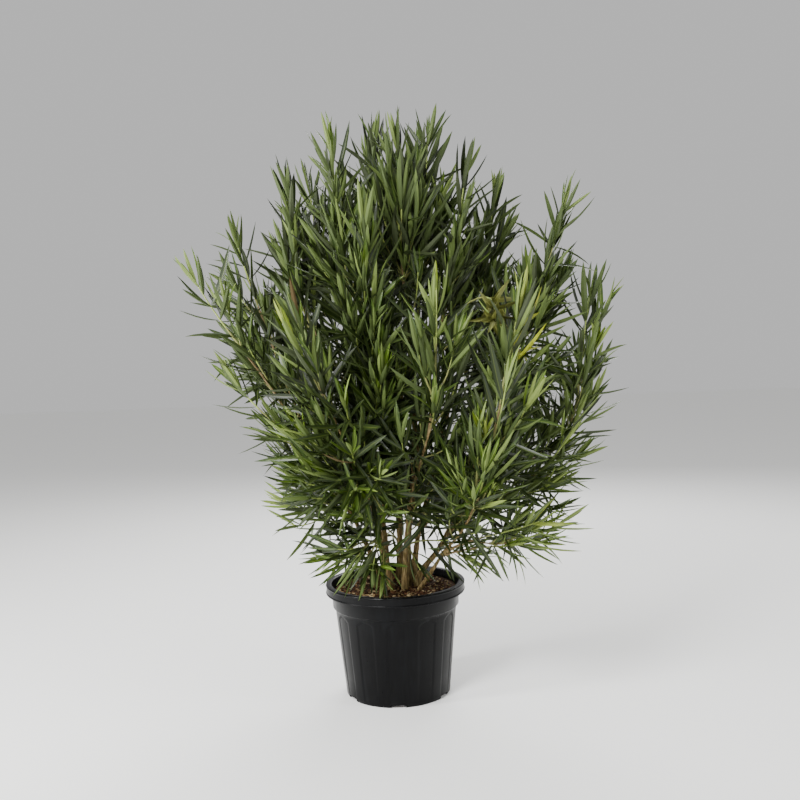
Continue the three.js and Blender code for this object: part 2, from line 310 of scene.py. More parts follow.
@dataclass(frozen=True)
class MouldedPolypropylene:
    """Recycled polypropylene, injection moulded: near black and satin, duller where it is scuffed."""

    name: str = "moulded_polypropylene"
    grain: float = 0.9 * MM
    scuff: float = 7.69 * MM
    cloud: float = 111.1 * MM

    def material(self) -> bpy.types.Material:
        """Returns the plastic's material."""
        material = bpy.data.materials.new(self.name)
        material.use_nodes = True
        tree = material.node_tree
        tree.nodes.clear()
        place = add_node(tree, "TexCoord", {}).outputs["Object"]
        cloud = add_node(tree, "TexNoise", {"Vector": place, "Scale": 1 / self.cloud, "Detail": 5.0})
        streaks = add_node(tree, "Mapping", {"Vector": place, "Scale": (1.0, 1.0, 0.08)})
        scuff = add_node(tree, "TexNoise", {
            "Vector": streaks.outputs["Vector"], "Scale": 1 / self.scuff, "Detail": 3.0})
        grain = add_node(tree, "TexNoise", {
            "Vector": place, "Scale": 1 / self.grain, "Detail": 2.0})
        tone = add_node(tree, "Math", {
            0: cloud.outputs["Fac"], 1: scuff.outputs["Fac"]}, operation="MULTIPLY")
        colour = colour_ramp(add_node(tree, "ValToRGB", {"Fac": tone.outputs[0]}), (
            (0.12, "#020203"), (0.27, "#040405"), (0.42, "#08090b")))
        rough = add_node(tree, "MapRange", {
            "Value": tone.outputs[0], "From Min": 0.1, "From Max": 0.45,
            "To Min": 0.24, "To Max": 0.42})
        relief = add_node(tree, "Bump", {
            "Height": grain.outputs["Fac"], "Strength": 0.25, "Distance": 0.12 * MM})
        surface = add_node(tree, "BsdfPrincipled", {
            "Base Color": colour,
            "Roughness": rough.outputs["Result"],
            "Normal": relief.outputs["Normal"],
            "Specular IOR Level": 0.12,
        })
        add_node(tree, "OutputMaterial", {"Surface": surface.outputs["BSDF"]})
        return material


@dataclass(frozen=True)
class BarkMulch:
    """Damp composted bark: rough crumbs from near black to rust, with no shine."""

    name: str = "composted_bark"
    crumb: float = 5 * MM
    stops: tuple[tuple[float, str], ...] = (
        (0.28, "#1b120b"), (0.45, "#3a2618"), (0.58, "#5d412b"), (0.72, "#826243"))

    def material(self) -> bpy.types.Material:
        """Returns the mulch's material."""
        material = bpy.data.materials.new(self.name)
        material.use_nodes = True
        tree = material.node_tree
        tree.nodes.clear()
        place = add_node(tree, "TexCoord", {}).outputs["Object"]
        crumbs = add_node(tree, "TexNoise", {
            "Vector": place, "Scale": 0.7 / self.crumb, "Detail": 7.0, "Roughness": 0.68})
        colour = colour_ramp(add_node(tree, "ValToRGB", {"Fac": crumbs.outputs["Fac"]}), self.stops)
        relief = add_node(tree, "Bump", {
            "Height": crumbs.outputs["Fac"], "Strength": 0.9, "Distance": 1.2 * MM})
        surface = add_node(tree, "BsdfPrincipled", {
            "Base Color": colour,
            "Roughness": 0.92,
            "Normal": relief.outputs["Normal"],
            "Specular IOR Level": 0.2,
        })
        add_node(tree, "OutputMaterial", {"Surface": surface.outputs["BSDF"]})
        return material


class Tint(Enum):
    """The tints that whole sprays of leaves are dealt: blade, midrib and underside."""

    # SHADED, DARK, MID and LIGHT are one leaf green painted at levels of shade and light; YOUNG and FRESH
    # are the paler green of young leaves.
    SHADED = ("#1a230a", "#38421d", "#384126")
    DARK = ("#222f0e", "#485421", "#414f26")
    MID = ("#304312", "#5c6c2b", "#51612e")
    LIGHT = ("#425914", "#76863a", "#67783b")
    YOUNG = ("#58701d", "#8b9a48", "#73843d")
    FRESH = ("#758a20", "#a3ae55", "#879540")
    YELLOW = ("#97a01c", "#b6b84e", "#8f9430")
    WITHERED = ("#4c4f18", "#6d7033", "#4f5223")
    DEAD = ("#5c4a26", "#75613c", "#524325")

    def materials(self) -> list[bpy.types.Material]:
        """Returns the materials of the blade, the midrib and the underside."""
        name = "leaf_" + self.name.lower()
        dull = 0.14 if self in (Tint.YELLOW, Tint.WITHERED, Tint.DEAD) else 0.0
        blade, rib, under = self.value
        return [
            LeafTissue(name + "_blade", blade, roughness=0.38 + dull).material(),
            LeafTissue(name + "_midrib", rib, roughness=0.50 + dull).material(),
            LeafTissue(name + "_underside", under, roughness=0.60 + dull, specular=0.3).material(),
        ]

    @property
    def slot(self) -> str:
        """The record's slot for leaves of this tint."""
        if self in (Tint.SHADED, Tint.DARK, Tint.DEAD):
            return "leaf_dark"
        if self in (Tint.MID, Tint.LIGHT):
            return "leaf_mid"
        return "leaf_young"


# ----------------------------------------------------------------------- joined small things
@dataclass
class Shape:
    """A small mesh held as arrays, to be copied many times into a joined piece.

    Args:
        corners: Corner places, one row each.
        faces: Corner numbers of each face.
        finishes: Material number of each face.
    """

    corners: np.ndarray
    faces: list[tuple[int, ...]]
    finishes: list[int]

    @staticmethod
    def of(piece: bpy.types.Object) -> "Shape":
        """Takes a modelled object's mesh as a shape and removes the object.

        Args:
            piece: A mesh object at the origin.

        Returns:
            Its shape.
        """
        mesh = piece.data
        corners = np.array([v.co for v in mesh.vertices], float)
        faces = [tuple(p.vertices) for p in mesh.polygons]
        finishes = [p.material_index for p in mesh.polygons]
        bpy.data.objects.remove(piece)
        bpy.data.meshes.remove(mesh)
        return Shape(corners, faces, finishes)


@dataclass
class Gathering:
    """Copies of small shapes that end up as one joined mesh."""

    corners: list[np.ndarray] = field(default_factory=list)
    faces: list[tuple[int, ...]] = field(default_factory=list)
    finishes: list[int] = field(default_factory=list)
    count: int = 0

    def add(self, shape: Shape, placed: np.ndarray) -> None:
        """Adds a copy of a shape.

        Args:
            shape: The shape that is copied.
            placed: The copy's corner places.
        """
        self.corners.append(placed)
        self.faces.extend(tuple(c + self.count for c in face) for face in shape.faces)
        self.finishes.extend(shape.finishes)
        self.count += len(placed)

    def build(self, name: str, materials: Sequence[bpy.types.Material],
              sharp_from: float = 42.0) -> bpy.types.Object:
        """Joins the copies into one smooth-shaded object.

        Args:
            name: The piece's name.
            materials: Its materials, in the order of the shapes' numbers.
            sharp_from: The angle in degrees from which an edge stays sharp.

        Returns:
            The joined piece.
        """
        mesh = bpy.data.meshes.new(name)
        mesh.from_pydata(np.vstack(self.corners).tolist(), [], self.faces)
        for material in materials:
            mesh.materials.append(material)
        mesh.polygons.foreach_set("material_index", self.finishes)
        mesh.update()
        piece = bpy.data.objects.new(name, mesh)
        bpy.context.scene.collection.objects.link(piece)
        work_on(piece)
        bpy.ops.object.shade_smooth_by_angle(angle=math.radians(sharp_from))
        return piece


# --------------------------------------------------------------------------- the skeleton
@dataclass
class Limb:
    """A tapering limb: its centreline and its radius at each point."""

    name: str
    points: list[Vector]
    radii: list[float]

    @property
    def end(self) -> Vector:
        """The limb's upper end."""
        return self.points[-1]

    @property
    def heading(self) -> Vector:
        """The direction in which the limb ends."""
        return (self.points[-1] - self.points[-2]).normalized()

    def length(self) -> float:
        """The length of the centreline."""
        return sum((b - a).length for a, b in zip(self.points, self.points[1:]))

    def at(self, distance: float) -> tuple[Vector, Vector, float]:
        """Finds a place along the limb.

        Args:
            distance: How far along the centreline.

        Returns:
            The place, the direction there and the radius there.
        """
        left = distance
        for i, (a, b) in enumerate(zip(self.points, self.points[1:])):
            step = (b - a).length
            if left <= step or i == len(self.points) - 2:
                share = min(1.0, left / max(step, 1e-9))
                radius = self.radii[i] + (self.radii[i + 1] - self.radii[i]) * share
                return a.lerp(b, share), (b - a).normalized(), radius
            left -= step
        return self.end, self.heading, self.radii[-1]


def read_limb(name: str, node: bpy.types.Object, spacing: float = 30 * MM,
              sliced: tuple[float, float] = (0.03, 0.985)) -> Limb:
    """Reads the centreline and the taper of a limb in the frame by slicing it across.

    Args:
        name: The node's name.
        node: The frame's object for the limb.
        spacing: Distance between slices.
        sliced: The first and the last slice, as shares of the limb.

    Returns:
        The limb, from its lower end to its upper end.
    """
    corners = np.array([v.co for v in node.data.vertices], float)
    low = corners[corners[:, 2].argmin()]
    top = corners[np.linalg.norm(corners - low, axis=1).argmax()]
    low = corners[np.linalg.norm(corners - top, axis=1).argmax()]
    if low[2] > top[2]:
        low, top = top, low
    reach = float(np.linalg.norm(top - low))
    chord = (top - low) / reach
    along = (corners - low) @ chord
    pairs = np.array([e.vertices[:] for e in node.data.edges])
    slices = max(4, round(reach / spacing))
    points: list[Vector] = []
    radii: list[float] = []
    for share in np.linspace(*sliced, slices):
        level = share * reach
        first, second = along[pairs[:, 0]], along[pairs[:, 1]]
        crossing = pairs[(first - level) * (second - level) < 0]
        if len(crossing) < 3:
            continue
        a, b = along[crossing[:, 0]], along[crossing[:, 1]]
        ratio = ((level - a) / (b - a))[:, None]
        cut = corners[crossing[:, 0]] * (1 - ratio) + corners[crossing[:, 1]] * ratio
        middle = (cut.min(axis=0) + cut.max(axis=0)) / 2
        middle = (middle + cut.mean(axis=0)) / 2
        points.append(Vector(middle))
        radii.append(float(np.linalg.norm(cut - middle, axis=1).mean()))
    return Limb(name, points, radii)


@dataclass
class Skeleton:
    """All the frame's limbs, from the soil to where they enter the foliage."""

    limbs: dict[str, Limb]

    @staticmethod
    def from_frame() -> "Skeleton":
        """Reads every stem and bough in the frame."""
        names = sorted(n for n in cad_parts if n.startswith(("stem_", "bough_")))
        return Skeleton({n: read_limb(n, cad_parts[n]) for n in names})

    def nearest(self, place: Vector) -> tuple[Vector, Vector]:
        """Finds the nearest point of any limb.

        Args:
            place: Where to look from.

        Returns:
            The nearest point and the limb's direction there.
        """
        best = (math.inf, place, UP)
        for limb in self.limbs.values():
            for a, b in zip(limb.points, limb.points[1:]):
                gap = (a - place).length
                if gap < best[0]:
                    best = (gap, a, (b - a).normalized())
        return best[1], best[2]


@dataclass
class BarkedWood:
    """Stems and boughs as one fused mesh with forks, leaf scars and furrowed bark."""

    skeleton: Skeleton
    scar_spacing: float = 34 * MM
    scar_swell: float = 0.09
    voxel: float = 2.3 * MM
    furrow_depth: float = 1.1 * MM
    furrow_width: float = 5 * MM
    knot_depth: float = 1.6 * MM
    scar_steps: int = 4
    stub_on: str = "stem_leader"
    stub_at: float = 0.83
    stub_lean: tuple[float, float, float] = (-0.55, -0.9, 0.0)
    stub_length: float = 26 * MM
    stub_radius: float = 5 * MM

    def lay_limb(self, limb: Limb) -> bpy.types.Object:
        """Lays a round tube along a limb, swollen at its leaf scars.

        Args:
            limb: The limb.

        Returns:
            A closed tube.
        """
        curve = bpy.data.curves.new(limb.name, "CURVE")
        curve.dimensions = "3D"
        curve.bevel_depth = 1.0
        curve.bevel_resolution = 3
        curve.use_fill_caps = True
        spline = curve.splines.new("POLY")
        length = limb.length()
        step = self.scar_spacing / self.scar_steps
        steps = max(4, round(length / step))
        spline.points.add(steps + 1)
        back = limb.points[0] - limb.at(step)[1] * self.scar_spacing / 3
        if limb.name.startswith("stem_"):
            back = Vector((limb.points[0].x, limb.points[0].y, SOIL_TOP - 6 * MM))
        spline.points[0].co = (*back, 1)
        spline.points[0].radius = limb.radii[0]
        for i in range(steps + 1):
            place, _, radius = limb.at(length * i / steps)
            swell = 1 + (self.scar_swell if i % self.scar_steps == 0 else 0.0)
            spline.points[i + 1].co = (*place, 1)
            spline.points[i + 1].radius = radius * swell
        tube = bpy.data.objects.new(limb.name + "_tube", curve)
        bpy.context.scene.collection.objects.link(tube)
        work_on(tube)
        bpy.ops.object.convert(target="MESH")
        return bpy.context.object

    def pruned_stub(self) -> bpy.types.Object:
        """Models the short stub of a bough that was cut off the main stem.

        Returns:
            The stub, bevelled at its cut face.
        """
        limb = self.skeleton.limbs[self.stub_on]
        place, heading, _ = limb.at(limb.length() * self.stub_at)
        lean = (heading + Vector(self.stub_lean)).normalized()
        middle = place + lean * self.stub_length / 2
        turn = lean.to_track_quat("Z", "Y").to_euler()
        deselect_everything()
        bpy.ops.mesh.primitive_cylinder_add(
            vertices=12, radius=self.stub_radius, depth=self.stub_length, location=middle, rotation=turn)
        stub = bpy.context.object
        settle(stub)
        apply_modifier(stub, "BEVEL", width=1.2 * MM, segments=2, limit_method="ANGLE")
        return stub

    def build(self) -> bpy.types.Object:
        """Fuses the limbs and gives them the bark's relief.

        Returns:
            The finished wood.
        """
        tubes = [self.lay_limb(limb) for limb in self.skeleton.limbs.values()]
        tubes.append(self.pruned_stub())
        deselect_everything()
        for tube in tubes:
            tube.select_set(True)
        bpy.context.view_layer.objects.active = tubes[0]
        bpy.ops.object.join()
        wood = bpy.context.object
        wood.name = wood.data.name = "barked_wood"
        apply_modifier(wood, "REMESH", mode="VOXEL", voxel_size=self.voxel, adaptivity=0.0)
        self.furrow(wood)
        work_on(wood)
        bpy.ops.object.shade_smooth()
        wood.data.materials.clear()
        wood.data.materials.append(WoodyBark().material())
        hand_over(wood, sorted(self.skeleton.limbs))
        return wood

    def furrow(self, wood: bpy.types.Object) -> None:
        """Presses long furrows and blunt knots into the bark.

        Args:
            wood: The fused wood.
        """
        deselect_everything()
        bpy.ops.object.empty_add(location=(0, 0, 0))
        grain = bpy.context.object
        grain.scale = (1, 1, 5)
        for name, width, depth, guide in (
            ("furrows", self.furrow_width, self.furrow_depth, grain),
            ("knots", self.furrow_width * 4, self.knot_depth, None),
        ):
            texture = bpy.data.textures.new(name, "CLOUDS")
            texture.noise_scale = width
            texture.noise_depth = 3
            coordinates = {"texture_coords": "LOCAL"}
            if guide:
                coordinates = {"texture_coords": "OBJECT", "texture_coords_object": guide}
            apply_modifier(
                wood, "DISPLACE", texture=texture, strength=depth, mid_level=0.5, **coordinates)
            bpy.data.textures.remove(texture)
        bpy.data.objects.remove(grain)


# ------------------------------------------------------------------------------ the leaves
@dataclass(frozen=True)
class LeafPattern:
    """A lance-shaped leathery blade one unit long along +Y, with its upper side to +Z.

    Args:
        arch: How far the tip bends back, or up where it is negative, as a share of the length.
        fold: How far the blade's edges rise above the midrib, as a share of the half width.
        widest: Where along the blade it is widest.
        sweep: How far the tip bends to the side, as a share of the length.
    """

    arch: float
    fold: float
    widest: float = 0.45
    sweep: float = 0.0

    STATIONS = (0.07, 0.20, 0.40, 0.62, 0.84)
    HALF_WIDTH = 0.055
    FULLNESS = 0.78
    STALK = 0.010
    POINT = 0.002
    RIB = 0.13
    RIB_FINISH = 0.25
    KEEL = 0.013
    DRAWN_DOWN = 0.3
    # Half the width of a five-sided bar at its flat top and at its widest, for a radius of one.
    BAR_TOP = 0.588
    BAR_SIDE = 0.951

    def half_width(self, along: float) -> float:
        """Gives the blade's half width.

        Args:
            along: The place along the blade, from 0 to 1.

        Returns:
            The half width there.
        """
        bias = math.log(0.5) / math.log(self.widest)
        swell = math.sin(math.pi * along ** bias) ** self.FULLNESS
        return self.STALK + (self.HALF_WIDTH - self.STALK) * swell

    def model(self) -> Shape:
        """Models the blade from a five-sided bar.

        Returns:
            Its shape: finish 0 is the blade, 1 the midrib and 2 the underside.
        """
        deselect_everything()
        bpy.ops.mesh.primitive_cylinder_add(
            vertices=5, radius=1.0, depth=1.0, location=(0, 0.5, 0), rotation=(math.pi / 2, 0, 0))
        blade = bpy.context.object
        settle(blade)
        bpy.ops.object.mode_set(mode="EDIT")
        for station in self.STATIONS:
            bpy.ops.mesh.select_all(action="SELECT")
            bpy.ops.mesh.bisect(plane_co=(0, station, 0), plane_no=(0, 1, 0))
        self.set_section(blade)
        for station in (0.0, *self.STATIONS, 1.0):
            self.set_station(blade, station)
        select_corners(blade, lambda co: co.y > 0.99)
        bpy.ops.mesh.merge(type="CENTER")
        bpy.ops.mesh.select_all(action="SELECT")
        bpy.ops.mesh.normals_make_consistent(inside=False)
        bpy.ops.object.mode_set(mode="OBJECT")
        for face in blade.data.polygons:
            face.material_index = self.finish_of(face)
        return Shape.of(blade)

    def set_section(self, blade: bpy.types.Object) -> None:
        """Flattens the bar's section to a keel, two edges and a narrow midrib.

        Args:
            blade: The bar in edit mode.
        """
        middle = (0, 0.5, 0)
        bpy.ops.mesh.select_all(action="SELECT")
        bpy.ops.transform.rotate(value=math.pi, orient_axis="Y", center_override=middle)
        select_corners(blade, lambda co: co.z > 0.5)
        bpy.ops.transform.resize(value=(self.RIB / self.BAR_TOP, 1, 0), center_override=middle)
        select_corners(blade, lambda co: abs(co.x) > 0.9)
        bpy.ops.transform.resize(value=(1 / self.BAR_SIDE, 1, 0), center_override=middle)
        bpy.ops.transform.translate(value=(0, 0, self.fold))
        select_corners(blade, lambda co: co.z < -0.95)
        bpy.ops.transform.resize(value=(1, 1, self.KEEL / self.HALF_WIDTH), center_override=middle)

    def set_station(self, blade: bpy.types.Object, station: float) -> None:
        """Gives the section at one station its size and its place on the arched midline.

        Args:
            blade: The bar in edit mode.
            station: The place along the blade.
        """
        select_corners(blade, lambda co: abs(co.y - station) < 0.01)
        size = self.half_width(station) if station < 1 else self.POINT
        bpy.ops.transform.resize(value=(size, 1, size), center_override=(0, station, 0))
        bend = self.arch * station ** 2
        bpy.ops.transform.translate(value=(
            self.sweep * station ** 2, -self.DRAWN_DOWN * bend, -bend))

    def finish_of(self, face: bpy.types.MeshPolygon) -> int:
        """Picks a face's finish by where it lies.

        Args:
            face: A face of the blade.

        Returns:
            0 for the blade, 1 for the midrib and 2 for the underside.
        """
        if face.normal.z < 0:
            return 2
        across = abs(face.center.x - self.sweep * face.center.y ** 2)
        near_rib = self.RIB_FINISH * self.half_width(min(face.center.y, 0.99))
        return 1 if across < near_rib else 0


@dataclass(frozen=True)
class Leaf:
    """One leaf in place.

    Args:
        origin: Where its stalk meets the shoot.
        along: Direction of the blade.
        upper: Direction that its upper side faces.
        length: Length of the blade.
        broad: Width as a share of the pattern's width.
        pattern: Which pattern it follows.
    """

    origin: Vector
    along: Vector
    upper: Vector
    length: float
    broad: float
    pattern: int

    def basis(self) -> np.ndarray:
        """Returns the rows that take the pattern's axes to the leaf's, with its sizes."""
        across = self.along.cross(self.upper).normalized()
        upper = across.cross(self.along).normalized()
        return np.array([
            across * self.length * self.broad,
            self.along * self.length,
            upper * self.length,
        ], float)


class Habit(Enum):
    """How the leaves of a shoot stand: angle at the tip, further angle per whorl, largest."""

    UPRIGHT = (9.0, 11.0, 62.0)
    SPREADING = (13.0, 13.0, 78.0)
    ARCHING = (20.0, 15.0, 104.0)
    HANGING = (10.0, 6.0, 40.0)


class Grade(Enum):
    """The grades of shoot: largest foot radius, tip radius, bare share and stiffness of the bend."""

    LEADER = (3.4 * MM, 1.5 * MM, 0.04, 0.33)
    SIDE = (2.6 * MM, 1.3 * MM, 0.22, 0.36)
    ACCENT = (2.8 * MM, 1.4 * MM, 0.30, 0.36)
    SHORT = (2.0 * MM, 1.1 * MM, 0.15, 0.40)


@dataclass
class Shoot:
    """A leafy shoot: a tapering green stem with whorls of three leaves.

    Args:
        points: The stem's centreline.
        foot_radius: Its radius where it leaves its parent.
        tip_radius: Its radius at the tip.
        bare: The share of the stem, from its foot, that carries no leaves.
        habit: How its leaves stand.
        tints: The tints of its tip, its middle and its lower leaves.
        vigour: Its leaves' length as a share of the usual one.
        stretch: Its distance between whorls as a share of the usual one.
        curled: Whether its leaves are withered and curled up.
    """

    # Shares of the stem up to which it is woody and ripening, and the stretches that make it long.
    WOODY_FOOT = 0.35
    RIPENING = 0.6
    LONG = 6

    points: list[Vector]
    foot_radius: float
    tip_radius: float
    bare: float
    habit: Habit
    tints: tuple[Tint, Tint, Tint]
    vigour: float = 1.0
    stretch: float = 1.0
    curled: bool = False

    def limb(self) -> Limb:
        """Returns the shoot's stem as a limb."""
        count = len(self.points)
        radii = [
            self.foot_radius + (self.tip_radius - self.foot_radius) * i / (count - 1)
            for i in range(count)
        ]
        return Limb("shoot", self.points, radii)

    def ripeness(self) -> list[int]:
        """Says how ripe each stretch of the stem is: 2 woody, 1 ripening and 0 green."""
        stretches = len(self.points) - 1
        woody = self.WOODY_FOOT if stretches > self.LONG else 0.0
        return [
            2 if i < woody * stretches else 1 if i < self.RIPENING * stretches else 0
            for i in range(stretches)
        ]


@dataclass(frozen=True)
class Accent:
    """A shoot that stands out from the rest.

    Args:
        foot: It leaves the limb that passes nearest to this place.
        tip: Where it ends.
        tints: The tints of its tip, its middle and its lower leaves.
        vigour: Its leaves' length as a share of the usual one.
        bare: The share of the stem that carries no leaves, where its grade doesn't say.
        stretch: Its distance between whorls as a share of the usual one.
        habit: How its leaves stand, where its height doesn't say.
    """

    foot: tuple[float, float, float]
    tip: tuple[float, float, float]
    tints: tuple[Tint, Tint, Tint]
    vigour: float = 1.0
    bare: float | None = None
    stretch: float = 1.0
    habit: Habit | None = None


def bent_path(start: Vector, heading: Vector, end: Vector, finish: Vector,
              stiffness: float, steps: int) -> list[Vector]:
    """Runs a smooth path between two places with a direction at each.

    Args:
        start: The first place.
        heading: Direction at the start.
        end: The last place.
        finish: Direction at the end.
        stiffness: How far each direction holds, as a share of the distance.
        steps: Number of stretches.

    Returns:
        The path's points.
    """
    reach = (end - start).length * stiffness
    handles = (start, start + heading * reach, end - finish * reach, end)
    path = []
    for i in range(steps + 1):
        t = i / steps
        weights = ((1 - t) ** 3, 3 * t * (1 - t) ** 2, 3 * t * t * (1 - t), t ** 3)
        path.append(sum((h * w for h, w in zip(handles, weights)), Vector()))
    return path


def tube_shape(limb: Limb, sides: int, stages: Sequence[int]) -> Shape:
    """Makes a closed tube along a limb, pointed at its tip.

    Args:
        limb: The limb.
        sides: Number of sides.
        stages: Material number of each stretch.

    Returns:
        The tube's shape.
    """
    rings = []
    across = limb.heading.orthogonal().normalized()
    for i, (place, radius) in enumerate(zip(limb.points, limb.radii)):
        ahead = limb.points[min(i + 1, len(limb.points) - 1)]
        behind = limb.points[max(i - 1, 0)]
        heading = (ahead - behind).normalized()
        side = (across - heading * across.dot(heading)).normalized()
        other = heading.cross(side)
        for k in range(sides):
            turn = math.tau * k / sides
            rings.append(place + (side * math.cos(turn) + other * math.sin(turn)) * radius)
    count = len(limb.points)
    tip = len(rings)
    rings.append(limb.end + limb.heading * limb.radii[-1] * 2)
    faces: list[tuple[int, ...]] = [tuple(range(sides - 1, -1, -1))]
    for i in range(count - 1):
        for k in range(sides):
            a, b = i * sides + k, i * sides + (k + 1) % sides
            faces.append((a, b, b + sides, a + sides))
    last = (count - 1) * sides
    faces.extend((last + k, last + (k + 1) % sides, tip) for k in range(sides))
    finishes = [stages[0], *(stage for stage in stages for _ in range(sides)), *([stages[-1]] * sides)]
    return Shape(np.array(rings, float), faces, finishes)


@dataclass
class Mass:
    """One of the frame's masses of foliage, and where its shoots start and end."""

    name: str
    surface: BVHTree
    low: Vector
    high: Vector
    start: Vector
    heading: Vector
    tip: Vector

    FED_WITHIN = 22 * MM
    LOW_COUNTS = 0.6
    HIGH_COUNTS = 0.25

    @staticmethod
    def from_frame(name: str, skeleton: Skeleton) -> "Mass":
        """Reads a mass and finds the limb that feeds it.

        Args:
            name: The node's name.
            skeleton: The frame's limbs.

        Returns:
            The mass.
        """
        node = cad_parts[name]
        corners = [v.co.copy() for v in node.data.vertices]
        surface = BVHTree.FromPolygons(corners, [tuple(p.vertices) for p in node.data.polygons])
        low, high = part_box(name)
        feeding = min(skeleton.limbs.values(), key=lambda limb: surface.find_nearest(limb.end)[3])
        places = np.array(corners, float)
        if surface.find_nearest(feeding.end)[3] < Mass.FED_WITHIN:
            start, heading = feeding.end.copy(), feeding.heading
        else:
            root = min(corners, key=lambda c: c.xy.length + Mass.LOW_COUNTS * c.z)
            start, heading = skeleton.nearest(root)
        away = places - np.array(start)
        farness = np.linalg.norm(away, axis=1) + Mass.HIGH_COUNTS * away[:, 2]
        tip = Vector(places[farness.argmax()])
        return Mass(name, surface, low, high, start, heading, tip)

    def outside(self, place: Vector) -> float:
        """Says how far a place lies outside the mass.

        Args:
            place: The place.

        Returns:
            The distance to the surface, negative inside.
        """
        near, normal, _, gap = self.surface.find_nearest(place)
        return gap if (place - near).dot(normal) > 0 else -gap

    @property
    def span(self) -> float:
        """The distance from the mass's start to its tip."""
        return (self.tip - self.start).length


